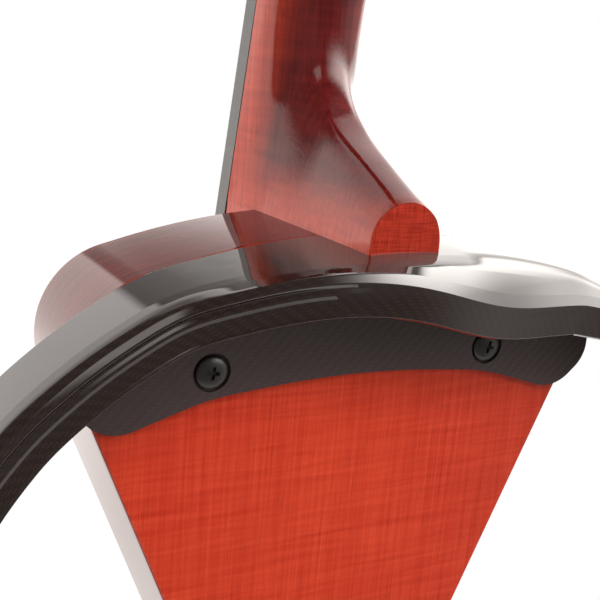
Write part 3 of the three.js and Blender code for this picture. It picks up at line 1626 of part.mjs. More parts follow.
// Battery under a hinged door
function batterySolid() {
  const back = -doorThickness - batteryRoom + seatGap;
  const foot = -batteryFoot + seatGap;
  const block = box(
    at(-batteryLength / 2, back - batteryDepth, foot),
    at(batteryLength / 2 - terminalHeight, back, foot + batteryHeight),
  );
  const terminals = [-1, 1].map((side) =>
    rod(terminalRadius, batteryLength / 2 - 2 * terminalHeight, batteryLength / 2, "x", smallSides)
      .translate(0, back - batteryDepth / 2, foot + batteryHeight / 2 + side * terminalPitch),
  );
  return join(block, ...terminals);
}

piece("battery", batterySolid(), plastic);

function batteryDoorSolid() {
  const half = batteryHalf + doorLip - seatGap;
  const plate = box(at(-half, -doorThickness, 0), at(half, 0, -batteryTop + doorLip - seatGap - hingeZ));
  const barrel = rod(doorHingeRadius, -half, half, "x").translate(0, -doorHingeRadius, 0);
  const latch = box(
    at(-latchHalfWidth, -doorThickness - latchDepth, -batteryTop - hingeZ - latchThickness - seatGap),
    at(latchHalfWidth, -doorThickness / 2, -batteryTop - hingeZ - seatGap),
  );
  const pinHole = rod(hingePinRadius + seatGap, -half - cutOverrun, half + cutOverrun, "x", smallSides)
    .translate(0, -doorHingeRadius, 0);
  return cut(join(plate, barrel, latch), pinHole);
}

piece("battery_door", batteryDoorSolid().translate(0, doorHingeRadius, 0), plastic)
  .position.set(0, -doorHingeRadius, hingeZ);
const hingePinHalf = batteryHalf + doorLip + hingePinSeat;
piece("door_hinge_pin", rod(hingePinRadius, -hingePinHalf, hingePinHalf, "x", smallSides), steel)
  .position.set(0, -doorHingeRadius, hingeZ);

export default cello;
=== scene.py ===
import json
import math

import bmesh
import bpy
import numpy as np
from mathutils import Matrix, Vector


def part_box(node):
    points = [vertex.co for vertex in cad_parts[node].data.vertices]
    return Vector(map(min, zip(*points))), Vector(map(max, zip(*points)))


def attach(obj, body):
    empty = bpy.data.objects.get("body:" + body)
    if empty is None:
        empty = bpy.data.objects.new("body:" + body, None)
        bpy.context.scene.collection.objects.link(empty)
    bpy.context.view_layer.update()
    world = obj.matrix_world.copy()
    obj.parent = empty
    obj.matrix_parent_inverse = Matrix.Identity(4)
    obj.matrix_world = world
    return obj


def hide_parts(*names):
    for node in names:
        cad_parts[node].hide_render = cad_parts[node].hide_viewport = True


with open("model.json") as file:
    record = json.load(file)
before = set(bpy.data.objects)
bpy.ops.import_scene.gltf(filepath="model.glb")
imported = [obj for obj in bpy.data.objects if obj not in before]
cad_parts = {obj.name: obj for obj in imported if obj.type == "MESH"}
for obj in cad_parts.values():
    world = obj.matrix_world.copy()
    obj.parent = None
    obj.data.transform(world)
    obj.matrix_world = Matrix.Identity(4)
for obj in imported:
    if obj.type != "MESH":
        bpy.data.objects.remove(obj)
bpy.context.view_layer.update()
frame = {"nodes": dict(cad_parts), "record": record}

ROOT = "instrument"
X, Y, Z = (1, 0, 0), (0, 1, 0), (0, 0, 1)
RIGHT_ANGLE = math.pi / 2
TURN = 2 * math.pi

# The core's back plane and its shoulder crest place every other piece. Lengths below are in millimetres
# from there: x to the treble side, y to the back, z up.
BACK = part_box("body_core")[1].y
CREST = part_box("body_core")[1].z


def spot(x, y, z):
    return Vector((x / 1000, BACK + y / 1000, CREST + z / 1000))


# Camera, fitted to the core's edges and the heel
CAMERA_PLACE = (0.22212, 0.38165, 0.88001)
CAMERA_RIGHT = (-0.87924351, 0.46985861, 0.0785094)
CAMERA_UP = (-0.05978776, -0.27234521, 0.96034031)
CAMERA_BEHIND = (0.47260582, 0.83967909, 0.26754956)
LENS, SENSOR, NEAREST = 72, 36, 0.01
PICTURE = 600

scene = bpy.context.scene
camera_data = bpy.data.cameras.new("camera")
camera_data.lens = LENS
camera_data.sensor_width = SENSOR
camera_data.clip_start = NEAREST
camera = bpy.data.objects.new("camera", camera_data)
scene.collection.objects.link(camera)
axes = Matrix((CAMERA_RIGHT, CAMERA_UP, CAMERA_BEHIND)).transposed()
camera.matrix_world = Matrix.Translation(CAMERA_PLACE) @ axes.to_4x4()
scene.camera = camera
scene.render.resolution_x = PICTURE
scene.render.resolution_y = PICTURE
scene.render.resolution_percentage = 100


# Nodes
class Nodes:
    """The node tree of a material or the world. A value may be a number, a colour or a socket."""

    def __init__(self, owner):
        owner.use_nodes = True
        self.owner = owner
        self.tree = owner.node_tree

    def set(self, socket, value):
        if isinstance(value, bpy.types.NodeSocket):
            self.tree.links.new(value, socket)
        elif isinstance(value, tuple) and socket.type == "RGBA":
            socket.default_value = (*value, 1)
        else:
            socket.default_value = value

    def node(self, kind, out=0, settings=None, **inputs):
        made = self.tree.nodes.new(kind)
        for key, value in (settings or {}).items():
            setattr(made, key, value)
        for key, value in inputs.items():
            self.set(made.inputs[int(key[1:]) if key[1:].isdigit() else key], value)
        return made.outputs[out]

    def math(self, operation, a, b=0.0, c=0.0):
        return self.node("ShaderNodeMath", settings={"operation": operation}, i0=a, i1=b, i2=c)

    def times(self, first, *others):
        for other in others:
            first = self.math("MULTIPLY", first, other)
        return first

    def coordinates(self, out="Object"):
        return self.node("ShaderNodeTexCoord", out=out)

    def split(self, vector):
        made = self.tree.nodes.new("ShaderNodeSeparateXYZ")
        self.set(made.inputs[0], vector)
        return made.outputs

    def noise(self, scale, detail=3.0, roughness=0.5, distortion=0.0):
        where = self.node("ShaderNodeMapping", Vector=self.coordinates(), Scale=scale)
        return self.node("ShaderNodeTexNoise", Vector=where, Scale=1.0, Detail=detail,
                         Roughness=roughness, Distortion=distortion)

    def mix(self, share, a, b):
        return self.node("ShaderNodeMix", out=2, settings={"data_type": "RGBA"}, i0=share, i6=a, i7=b)

    def range(self, value, low, high, to_low=0.0, to_high=1.0, ease="LINEAR"):
        return self.node("ShaderNodeMapRange", settings={"interpolation_type": ease},
                         i0=value, i1=low, i2=high, i3=to_low, i4=to_high)

    def ease(self, value, low, high, to_low=0.0, to_high=1.0):
        return self.range(value, low, high, to_low, to_high, ease="SMOOTHSTEP")

    def band(self, value, rise, fall, level=1.0):
        """Up to the level over one span of the value and back to nothing over another."""
        return self.times(self.ease(value, *rise, 0.0, level), self.ease(value, *fall, 1.0, 0.0))


class Finish(Nodes):
    """A material around one principled shader."""

    def __init__(self, name):
        super().__init__(bpy.data.materials.new(name))
        self.name = name
        self.shader = self.tree.nodes["Principled BSDF"]

    def bump(self, height, distance, strength):
        return self.node("ShaderNodeBump", Height=height, Distance=distance, Strength=strength)

    def finish(self, **values):
        for key, value in values.items():
            self.set(self.shader.inputs[key.replace("_", " ")], value)
        MATERIALS[self.name] = self.owner
        return self.owner


# Materials: noise scales are repeats in a metre along x, y and z.
MATERIALS = {}


def varnished(name, dark, light, streak=(820, 820, 14), figure=(26, 26, 430), figure_share=0.34, coat=1.0,
              rough=0.34, coat_rough=0.05, peel=0.25, peel_size=260, edge=None, dark_above=None):
    """Lacquered wood with streaks, figure and pores. Edge colours are painted shade, darker on faces turned
    away from front and back; the last colours darken wood above the shoulder and away from the fingerboard."""
    f = Finish(name)
    grain = f.noise(streak, detail=5.0, roughness=0.62)
    flame = f.noise(figure, detail=2.5, roughness=0.45, distortion=0.6)
    cloud = f.noise((9, 9, 5), detail=2.0)
    pore = f.noise((2600, 2600, 60), detail=2.0)
    share = f.math("MULTIPLY_ADD", flame, figure_share, f.times(grain, 0.42))
    share = f.range(f.math("MULTIPLY_ADD", cloud, 0.26, share), 0.34, 0.7)
    colour = f.mix(share, dark, light)
    colour = f.mix(f.range(pore, 0.62, 0.74, 0.0, 0.55), colour, tuple(0.3 * c for c in dark))
    # Painted shade: faces turned away from front and back take the darker edge colours.
    if edge:
        across = f.noise((7, 1500, 7), detail=4.0, roughness=0.6)
        deep = f.mix(f.range(across, 0.38, 0.64), *edge)
        facing = f.math("ABSOLUTE", f.split(f.coordinates("Normal"))[1])
        colour = f.mix(f.range(facing, 0.3, 0.8), deep, colour)
    # Wood above the shoulder and away from the fingerboard takes darker colours.
    if dark_above:
        _, back, up = f.split(f.coordinates())
        slope = math.tan(ANGLE)
        board = BACK + GLUE / 1000 - CREST * slope
        far = f.range(f.math("MULTIPLY_ADD", up, -slope, back), board + 0.006, board + 0.02)
        high = f.range(up, CREST + 0.003, CREST + 0.02)
        colour = f.mix(f.times(high, far), colour, f.mix(share, *dark_above))
    return f.finish(
        Base_Color=colour,
        Roughness=f.range(grain, 0.2, 0.8, rough - 0.06, rough + 0.08),
        Normal=f.bump(grain, 0.00006, 0.4),
        Coat_Weight=coat,
        Coat_Roughness=coat_rough,
        Coat_Normal=f.bump(f.noise((peel_size,) * 3, detail=1.0), 0.00004, peel),
        Coat_IOR=1.4,
        Specular_IOR_Level=0.5 - 0.5 * coat,
    )


def end_grain(name, dark, light):
    f = Finish(name)
    rays = f.noise((1500, 40, 110), detail=4.0, roughness=0.6)
    rings = f.noise((90, 40, 1700), detail=4.0, roughness=0.6)
    share = f.range(f.math("MULTIPLY_ADD", rays, 0.55, f.times(rings, 0.55)), 0.42, 0.68)
    return f.finish(Base_Color=f.mix(share, dark, light), Roughness=0.4, Normal=f.bump(share, 0.00005, 0.4),
                    Coat_Weight=0.8, Coat_Roughness=0.08, Specular_IOR_Level=0.0)


def woven(name, dark, light, coat, coat_rough, polish=None):
    """Two-by-two twill from UVs in metres, with painted sheen: the colour is lighter on each tow's crown and
    on the tows of one way, darker where tows meet. The lacquer is glossier above the height polish.
    """
    tow = 0.0012
    f = Finish(name)
    u, v, _ = f.split(f.coordinates("UV"))
    wobble = f.times(f.math("SUBTRACT", f.noise((60,) * 3), 0.5), 0.18)
    u = f.math("MULTIPLY_ADD", u, 1 / tow, wobble)
    v = f.math("MULTIPLY_ADD", v, 1 / tow, wobble)
    total = f.math("ADD", f.math("FLOOR", u), f.math("FLOOR", v))
    over = f.math("LESS_THAN", f.math("FLOORED_MODULO", total, 4.0), 1.5)

    def swell(way):
        off = f.math("SUBTRACT", f.math("FRACT", way), 0.5)
        return f.math("SUBTRACT", 1.0, f.times(off, off, 4.0))

    height = f.node("ShaderNodeMix", out=0, i0=over, i2=swell(u), i3=swell(v))
    # Painted sheen and shade: lighter on the tows' crowns and on the upper tows, darker between them.
    share = f.times(height, f.range(over, 0.0, 1.0, 0.35, 1.0),
                    f.range(f.noise((2400,) * 3, detail=2.0), 0.2, 0.8, 0.7, 1.1))
    gloss = 1.5
    if polish:
        gloss = f.range(f.split(f.coordinates())[2], polish - 0.014, polish - 0.004, gloss, 1.9)
    return f.finish(
        Base_Color=f.mix(share, dark, light),
        Roughness=f.range(share, 0.0, 1.0, 0.58, 0.45),
        Normal=f.bump(height, 0.00003, 0.5),
        Coat_Weight=coat,
        Coat_Roughness=coat_rough,
        Coat_Normal=f.bump(f.noise((140,) * 3, detail=1.0), 0.00005, 0.25),
        Coat_IOR=gloss,
        Specular_IOR_Level=0.4 - 0.4 * coat,
    )


def moulded(name, dark, light, rough, metallic=0.0, grain=(1400,) * 3, lift=0.00002, coat=0.0):
    f = Finish(name)
    fine = f.noise(grain, detail=4.0)
    broad = f.noise((45,) * 3)
    share = f.range(f.math("MULTIPLY_ADD", fine, 0.5, f.times(broad, 0.5)), 0.35, 0.65)
    return f.finish(
        Base_Color=f.mix(share, dark, light),
        Roughness=f.range(fine, 0.2, 0.8, rough - 0.06, rough + 0.08),
        Metallic=metallic,
        Normal=f.bump(fine, lift, 0.5),
        Coat_Weight=coat,
        Coat_Roughness=0.1,
    )


def circuit(name):
    f = Finish(name)
    where = f.node("ShaderNodeMapping", Vector=f.coordinates(), Scale=(260,) * 3)
    cells = f.node("ShaderNodeTexVoronoi", settings={"feature": "DISTANCE_TO_EDGE"}, Vector=where, Scale=1.0)
    track = f.range(cells, 0.03, 0.07, 1.0, 0.0)
    return f.finish(Base_Color=f.mix(track, (0.012, 0.09, 0.03), (0.05, 0.26, 0.09)), Roughness=0.35,
                    Normal=f.bump(track, 0.00004, 0.6), Coat_Weight=0.4)


def wound(name, pitch):
    """Round wire laid across an upright length, with its pitch in metres, and painted shade darkening the
    grooves between its turns.
    """
    f = Finish(name)
    ridge = f.math("SINE", f.times(f.split(f.coordinates())[2], TURN / pitch))
    share = f.range(ridge, -1.0, 1.0)
    # Painted shade: the base colour is dark in the grooves between turns and light on their crowns.
    return f.finish(Base_Color=f.mix(share, (0.2, 0.2, 0.2), (0.62, 0.61, 0.58)), Metallic=1.0,
                    Roughness=f.range(f.noise((900,) * 3), 0.2, 0.8, 0.2, 0.34),
                    Normal=f.bump(share, 0.00004, 0.7))


# The maple core's edge colours are painted shade on its sides and shoulders.
varnished("maple_red", (0.44, 0.022, 0.008), (0.72, 0.075, 0.03), figure_share=0.28,
          edge=((0.07, 0.006, 0.005), (0.165, 0.016, 0.012)))
varnished("maple_pale", (0.46, 0.26, 0.11), (0.72, 0.5, 0.27), coat=0.15, rough=0.5)
varnished("ebony", (0.010, 0.009, 0.008), (0.05, 0.045, 0.04), coat=0.2, rough=0.42, coat_rough=0.25)
woven("carbon_gloss", (0.014, 0.0085, 0.007), (0.026, 0.0152, 0.0125), 1.0, 0.02, polish=CREST)
woven("carbon_matte", (0.035, 0.0215, 0.021), (0.056, 0.036, 0.035), 0.1, 0.35)
moulded("black_steel", (0.008, 0.0065, 0.006), (0.022, 0.018, 0.017), 0.4, metallic=0.2, coat=0.15)
moulded("steel", (0.42, 0.42, 0.42), (0.68, 0.68, 0.67), 0.26, metallic=1.0, grain=(1500, 1500, 90))
moulded("rubber", (0.01, 0.01, 0.01), (0.03, 0.03, 0.03), 0.75, lift=0.00005)
moulded("plastic", (0.014, 0.014, 0.015), (0.03, 0.03, 0.032), 0.42, lift=0.00003)
circuit("circuit")
moulded("cord", (0.008, 0.008, 0.008), (0.04, 0.04, 0.04), 0.7, grain=(2200,) * 3, lift=0.0001)
EBONY, STEEL, BLACK_STEEL = MATERIALS["ebony"], MATERIALS["steel"], MATERIALS["black_steel"]
BUTTON_END = end_grain("button_end", (0.27, 0.014, 0.006), (0.5, 0.04, 0.016))
STRING_WOUND = wound("string_wound", 0.0005)
POINTER = moulded("pointer", (0.55, 0.55, 0.53), (0.8, 0.8, 0.78), 0.4)
CUTTER = bpy.data.materials.new("cutter")


# Curves
def unit(v):
    return v / max(np.linalg.norm(v), 1e-12)


def smoothstep(value, low=0.0, high=1.0):
    share = min(max((value - low) / (high - low), 0), 1)
    return share * share * (3 - 2 * share)


def angles(end, steps, first=0):
    return [end * k / steps for k in range(first, steps + 1)]


def spread(sides):
    """Angles all round, in equal steps."""
    return angles(TURN, sides)[:-1]


def rounded(vertices, step=math.radians(2), arc=None):
    """A polygon with round corners from [x, z, radius]; arc gives every corner the same number of steps."""
    out = []
    straight = RIGHT_ANGLE - 1e-4
    for i, (x, z, radius) in enumerate(vertices):
        here = np.array((x, z), float)
        before_edge = np.array(vertices[i - 1][:2], float) - here
        after_edge = np.array(vertices[(i + 1) % len(vertices)][:2], float) - here
        before, after = unit(before_edge), unit(after_edge)
        half = math.acos(float(np.clip(before @ after, -1, 1))) / 2
        if arc:
            room = 0.48 * min(np.linalg.norm(before_edge), np.linalg.norm(after_edge))
            radius = min(radius, room * math.tan(half)) if half < straight else 0
        if not radius or half > straight:
            out.extend([here] * ((arc or 0) + 1))
            continue
        centre = here + unit(before + after) * radius / math.sin(half)
        start = here + before * radius / math.tan(half) - centre
        end = here + after * radius / math.tan(half) - centre
        sweep = math.atan2(start[0] * end[1] - start[1] * end[0], float(start @ end))
        steps = arc or max(2, math.ceil(abs(sweep) / step))
        for a in angles(sweep, steps):
            cos, sin = math.cos(a), math.sin(a)
            out.append(centre + np.array((start[0] * cos - start[1] * sin, start[0] * sin + start[1] * cos)))
    return np.array(out)


def mirrored(half):
    return [*half, *[(-x, z, radius) for x, z, radius in reversed(half)]]


def catmull(points, closed, per_span, power=0.25):
    """A curve through points, centripetal at a power of a quarter, as rows."""
    p = np.array(points, float)
    ends = (p[-1:], p[:2]) if closed else (2 * p[:1] - p[1:2], 2 * p[-1:] - p[-2:-1])
    padded = np.vstack([ends[0], p, ends[1]])
    out = []
    for a, b, c, d in zip(padded, padded[1:], padded[2:], padded[3:]):
        d0, d1, d2 = (max(float((q - r) @ (q - r)) ** power, 1e-9) for q, r in ((b, a), (c, b), (d, c)))
        t1 = ((b - a) / d0 - (c - a) / (d0 + d1) + (c - b) / d1) * d1
        t2 = ((c - b) / d1 - (d - b) / (d1 + d2) + (d - c) / d2) * d1
        second, third = 3 * (c - b) - 2 * t1 - t2, 2 * (b - c) + t1 + t2
        for t in angles(1, per_span)[:-1]:
            out.append(b + t1 * t + second * t ** 2 + third * t ** 3)
    if not closed:
        out.append(p[-1])
    return np.array(out)


def resample(curve, count):
    """A closed curve in equal steps."""
    whole = np.vstack([curve, curve[:1]])
    length = np.concatenate([[0], np.cumsum(np.linalg.norm(np.diff(whole, axis=0), axis=1))])
    wanted = np.linspace(0, length[-1], count + 1)[:-1]
    return np.stack([np.interp(wanted, length, column) for column in whole.T], axis=1)


# Meshes
SMOOTH = 34


def shade(mesh, angle=SMOOTH):
    mesh.shade_smooth()
    mesh.set_sharp_from_angle(angle=math.radians(angle))


def link(name, verts, faces, material, smooth=SMOOTH, uvs=()):
    mesh = bpy.data.meshes.new(name)
    mesh.from_pydata([tuple(v) for v in verts], [], faces)
    layer = mesh.uv_layers.new(name="UVMap")
    layer.data.foreach_set("uv", np.array([value for face in uvs for pair in face for value in pair]))
    work = bmesh.new()
    work.from_mesh(mesh)
    bmesh.ops.recalc_face_normals(work, faces=work.faces)
    work.to_mesh(mesh)
    work.free()
    mesh.materials.append(material)
    shade(mesh, smooth)
    obj = bpy.data.objects.new(name, mesh)
    scene.collection.objects.link(obj)
    return obj


def loft(name, rings, material, looped=False, smooth=SMOOTH):
    """Rings of points in metres, all with the same count, with UVs in metres."""
    rings = np.array(rings, float)
    rows, count = rings.shape[:2]
    middle = rings.mean(axis=1)
    chain = np.vstack([middle, middle[:1]]) if looped else middle
    along = np.concatenate([[0], np.cumsum(np.linalg.norm(np.diff(chain, axis=0), axis=1))])
    closed = np.concatenate([rings, rings[:, :1]], axis=1)
    ring_steps = np.linalg.norm(np.diff(closed, axis=1), axis=2)
    across = np.concatenate([np.zeros((rows, 1)), np.cumsum(ring_steps, axis=1)], axis=1)
    faces, uvs = [], []
    for i in range(rows if looped else rows - 1):
        k = (i + 1) % rows
        for j in range(count):
            m = (j + 1) % count
            faces.append((i * count + j, i * count + m, k * count + m, k * count + j))
            uvs.append(((along[i], across[i][j]), (along[i], across[i][j + 1]),
                        (along[i + 1], across[k][j + 1]), (along[i + 1], across[k][j])))
    for i in () if looped else (0, rows - 1):
        faces.append(tuple(i * count + j for j in range(count)))
        uvs.append(tuple((p[0], p[2]) for p in rings[i]))
    return link(name, rings.reshape(-1, 3), faces, material, smooth, uvs)


def flat_uv(obj):
    """UVs in metres from the side that each face looks to."""
    mesh = obj.data
    layer = mesh.uv_layers["UVMap"]
    for face in mesh.polygons:
        n = [abs(c) for c in face.normal]
        widest = max(n) - 1e-6
        u, v = (0, 2) if n[1] >= widest else (1, 2) if n[0] >= widest else (0, 1)
        for i in face.loop_indices:
            where = mesh.vertices[mesh.loops[i].vertex_index].co
            layer.data[i].uv = (where[u], where[v])
    return obj


def prism(name, outline, front, back, material, edge=0.0, between=()):
    """An outline in x and z, as a plate from y = front to y = back, with round edges and rings between."""
    points = np.array(outline, float)
    points = points[np.linalg.norm(points - np.roll(points, 1, axis=0), axis=1) > 1e-6]
    into = points - np.roll(points, 1, axis=0)
    out_of = np.roll(into, -1, axis=0)
    into /= np.linalg.norm(into, axis=1)[:, None]
    out_of /= np.linalg.norm(out_of, axis=1)[:, None]
    tangent = into + out_of
    tangent /= np.linalg.norm(tangent, axis=1)[:, None]
    x, z = points.T
    area = np.sum(x * np.roll(z, -1) - z * np.roll(x, -1))
    inward = np.stack([-tangent[:, 1], tangent[:, 0]], axis=1) * (1 if area > 0 else -1)
    reach = 1 / np.clip(np.sum(tangent * into, axis=1), 0.5, 1)
    turns = angles(RIGHT_ANGLE, 4) if edge else [RIGHT_ANGLE]
    levels = [(edge * (1 - math.sin(a)), front + edge * (1 - math.cos(a))) for a in turns]
    levels += [(0, y) for y in between] + [(inset, back - (y - front)) for inset, y in reversed(levels)]
    rings = [[spot(x, y, z) for x, z in points + inward * (reach * inset)[:, None]] for inset, y in levels]
    return flat_uv(loft(name, rings, material))


def applied(obj):
    """Modifiers made part of the mesh."""
    bpy.context.view_layer.update()
    old = obj.data
    mesh = bpy.data.meshes.new_from_object(obj.evaluated_get(bpy.context.evaluated_depsgraph_get()))
    obj.modifiers.clear()
    obj.data = mesh
    mesh.name = obj.name
    bpy.data.meshes.remove(old)
    return obj


def discard(obj):
    mesh = obj.data
    bpy.data.objects.remove(obj)
    bpy.data.meshes.remove(mesh)


def carve(obj, cutters):
    for cutter in cutters:
        cut = obj.modifiers.new("cut", "BOOLEAN")
        cut.object = cutter
        cut.operation = "DIFFERENCE"
        cut.solver = "EXACT"
    applied(obj)
    for cutter in cutters:
        discard(cutter)
    shade(obj.data)
    return obj


def bevel(obj, width, segments, angle):
    edges = obj.modifiers.new("edges", "BEVEL")
    edges.width = width / 1000
    edges.segments = segments
    edges.limit_method = "ANGLE"
    edges.angle_limit = math.radians(angle)


def soften(obj, width, segments=2, angle=38):
    """Small round edges for the highlights along them."""
    bevel(obj, width, segments, angle)
    shade(applied(obj).data)
    return obj


def block(low, high, material=CUTTER):
    (a, b, c), (d, e, f) = low, high
    rings = [[spot(x, b, c), spot(x, e, c), spot(x, e, f), spot(x, b, f)] for x in (a, d)]
    return loft("block", rings, material)


def lathe(name, profile, centre, axis, material, sides=64, smooth=SMOOTH, side=None, thin=1):
    """A turned piece from (radius, height) pairs in millimetres about a point and an axis in world space. It
    can be thinner across the axis and the side."""
    axis = Vector(axis).normalized()
    side = Vector(side or axis.orthogonal()).normalized()
    other = axis.cross(side)
    rings = []
    for radius, height in profile:
        radius = max(radius, 0.01)
        rings.append([centre + (axis * height + side * (radius * math.cos(a))
                                + other * (thin * radius * math.sin(a))) / 1000 for a in spread(sides)])
    return loft(name, rings, material, smooth=smooth)


def bore(radius, low, high, centre, axis, sides=24):
    return lathe("bore", [(radius, low), (radius, high)], centre, axis, CUTTER, sides)


def tube(name, points, radius, material, sides=16):
    """A round section along a route, halving each bend."""
    rings = []
    normal = None
    for i, here in enumerate(points):
        into = (here - points[i - 1]).normalized() if i else None
        out_of = (points[i + 1] - here).normalized() if i + 1 < len(points) else None
        along = ((into or out_of) + (out_of or into)).normalized()
        normal = along.orthogonal() if normal is None else normal - along * normal.dot(along)
        normal.normalize()
        other = along.cross(normal)
        rings.append([here + (normal * math.cos(a) + other * math.sin(a)) * radius / 1000
                      for a in spread(sides)])
    return loft(name, rings, material, smooth=50)


def grip(name, radius, low, high, centre, material):
    """A round head with eight scallops about an axis along x."""
    grips, depth, edge = 8, 0.8, 0.6
    axis = Vector(X)
    side = axis.orthogonal().normalized()
    other = axis.cross(side)
    rings = []
    for shrink, height in ((edge, low), (0, low + edge), (0, high - edge), (edge, high)):
        ring = []
        for a in spread(grips * 12):
            reach = radius - depth * max(0, math.cos(grips * a)) ** 3 - shrink
            ring.append(centre + (axis * height + (side * math.cos(a) + other * math.sin(a)) * reach) / 1000)
        rings.append(ring)
    return loft(name, rings, material, smooth=40)


def joined(name, objects):
    """Several meshes as one object."""
    verts, faces, uvs, indices, materials = [], [], [], [], []
    for obj in objects:
        start = len(verts)
        mesh = obj.data
        verts += [tuple(v.co) for v in mesh.vertices]
        layer = mesh.uv_layers.active
        for face in mesh.polygons:
            faces.append(tuple(start + v for v in face.vertices))
            uvs.append(tuple(tuple(layer.data[i].uv) for i in face.loop_indices))
            material = mesh.materials[face.material_index]
            if material not in materials:
                materials.append(material)
            indices.append(materials.index(material))
        discard(obj)
    made = link(name, verts, faces, materials[0], uvs=uvs)
    for material in materials[1:]:
        made.data.materials.append(material)
    made.data.polygons.foreach_set("material_index", indices)
    return made


def stands_for(obj, node, body=ROOT):
    """The piece that is seen for a node. Its flat faces keep their own shading beside small round edges."""
    level = obj.modifiers.new("even", "WEIGHTED_NORMAL")
    level.keep_sharp = True
    level.weight = 90
    applied(obj)
    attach(obj, body)
    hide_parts(node)
    return obj


# Core: GAP is the clearance of what fits together, OVER how far a cutter reaches past a face.
LENGTH, DEPTH, STEM = 750, 50, 46
GAP = 0.3
OVER = 3
CROWN_R = 278
SLOPE = math.radians(15)
CROWN_POINT = CROWN_R * (1 / math.cos(SLOPE) - 1)
SHOULDER_X, FOOT_X = 115.8, 97
SHOULDER_Z = CROWN_POINT - SHOULDER_X * math.tan(SLOPE)
STEM_TOP = SHOULDER_Z - (SHOULDER_X - STEM) / math.tan(math.radians(22.8))
STEM_FOOT = -LENGTH + (FOOT_X - STEM) / math.tan(math.radians(20))
RABBET_DROP, RABBET_CORNER = 46, 95
BAY_HALF, BAY_LOW, BAY_HIGH, LIP = 29, -456, -300, 6
BATTERY_HALF, BATTERY_LOW, BATTERY_HIGH, DOOR_LIP = 26.25, -506.5, -476, 5
COVER_SCREWS = [(side * (BAY_HALF + LIP / 2), z)
                for z in (BAY_HIGH + LIP / 2, BAY_LOW - LIP / 2) for side in (1, -1)]
ROD_R, SOCKET_R, SOCKET_DEPTH = 5, 13, 42
PICKUP_RECESS = 2
SHANK_HOLE, HEAD_HOLE = 2.8, 7
BRACKET_SCREWS = {
    "upper_screw_treble": (57.75, -45),
    "upper_screw_bass": (-57.75, -45),
    "lower_screw_treble": (46, -710),
    "lower_screw_bass": (-46, -710),
}
CONTROL_Y = -11
KNOBS = {"volume": -324, "treble": -358, "bass": -392}
OUTPUT_Z, PHONES_Z = -424, -444
OUTPUT_R, PHONES_R = 5.6, 3.9
ENDPIN = spot(0, -30, -LENGTH)
HINGE = spot(0, -2, -509.5)


def core_outline():
    side = [(SHOULDER_X, SHOULDER_Z, 32), (STEM, STEM_TOP, 130), (STEM, STEM_FOOT, 150),
            (FOOT_X, -LENGTH, 30)]
    return rounded([(0, CROWN_POINT, CROWN_R), *mirrored(side)], step=math.radians(1))


def shoulder_z(x):
    if abs(x) < CROWN_R * math.sin(SLOPE):
        return math.sqrt(CROWN_R ** 2 - x * x) - CROWN_R
    return CROWN_POINT - abs(x) * math.tan(SLOPE)


def rabbet():
    """What is cut from the shoulder's edge for the frame, from one corner over the crown to the other."""
    edge = core_outline()
    edge = edge[edge[:, 1] > -RABBET_DROP]
    left, right = edge[edge[:, 0] < -RABBET_CORNER], edge[edge[:, 0] > RABBET_CORNER]
    middle = edge[np.abs(edge[:, 0]) <= RABBET_CORNER]
    path = np.concatenate([left[np.argsort(left[:, 1])], middle[np.argsort(middle[:, 0])],
                           right[np.argsort(-right[:, 1])]])
    rings = []
    for i, (x, z) in enumerate(path):
        along = unit(path[min(i + 1, len(path) - 1)] - path[max(i - 1, 0)])
        rings.append([spot(x - along[1] * height, depth, z + along[0] * height)
                      for height, depth in ((4, -5.3), (-2.2, -5.3), (-2.2, 4), (4, 4))])
    return loft("rabbet", rings, CUTTER)


def pocket(half, front, back, low, high):
    return block((-half, front, low), (half, back, high))


core = prism("core_wood", core_outline(), -DEPTH, 0, MATERIALS["maple_red"], edge=1.2, between=(-30, -9, -6))
carve(core, [
    rabbet(),
    # The neck's tenon, the preamp board under its cover, and the battery under its door
    pocket(15 + GAP, -DEPTH - OVER, -5.7, -58 - GAP, OVER),
    pocket(BAY_HALF, -20, OVER, BAY_LOW, BAY_HIGH),
    pocket(BAY_HALF + LIP, -2 - GAP, OVER, BAY_LOW - LIP, BAY_HIGH + LIP),
    pocket(BATTERY_HALF, -20.9, OVER, BATTERY_LOW, BATTERY_HIGH),
    pocket(BATTERY_HALF + DOOR_LIP, -2.4 - GAP, OVER, BATTERY_LOW - DOOR_LIP - 2 * GAP,
           BATTERY_HIGH + DOOR_LIP),
    # The door's barrel and pin, the endpin's rod and socket, and the pickup
    bore(2 + GAP, -BATTERY_HALF - DOOR_LIP, BATTERY_HALF + DOOR_LIP, HINGE, X),
    bore(1.1, -34.6, 34.6, HINGE, X, 16),
    bore(ROD_R + 2 * GAP, -OVER, 458, ENDPIN, Z, 48),
    bore(SOCKET_R + GAP, -OVER, SOCKET_DEPTH + GAP, ENDPIN, Z),
    pocket(45 + GAP, -DEPTH - OVER, -DEPTH + PICKUP_RECESS, -411.3, -398.7),
    *[bore(1.6, -10 - GAP, OVER, spot(x, 0, z), Y, 16) for x, z in COVER_SCREWS],
    *[bore(SHANK_HOLE, -22 - GAP, OVER, spot(x, 0, z), Y) for x, z in BRACKET_SCREWS.values()],
    *[bore(radius + GAP, 0, STEM + OVER, spot(0, CONTROL_Y, z), X, 32)
      for z, radius in (*[(z, 3.5) for z in KNOBS.values()], (OUTPUT_Z, OUTPUT_R), (PHONES_Z, PHONES_R))],
])
stands_for(core, "body_core")

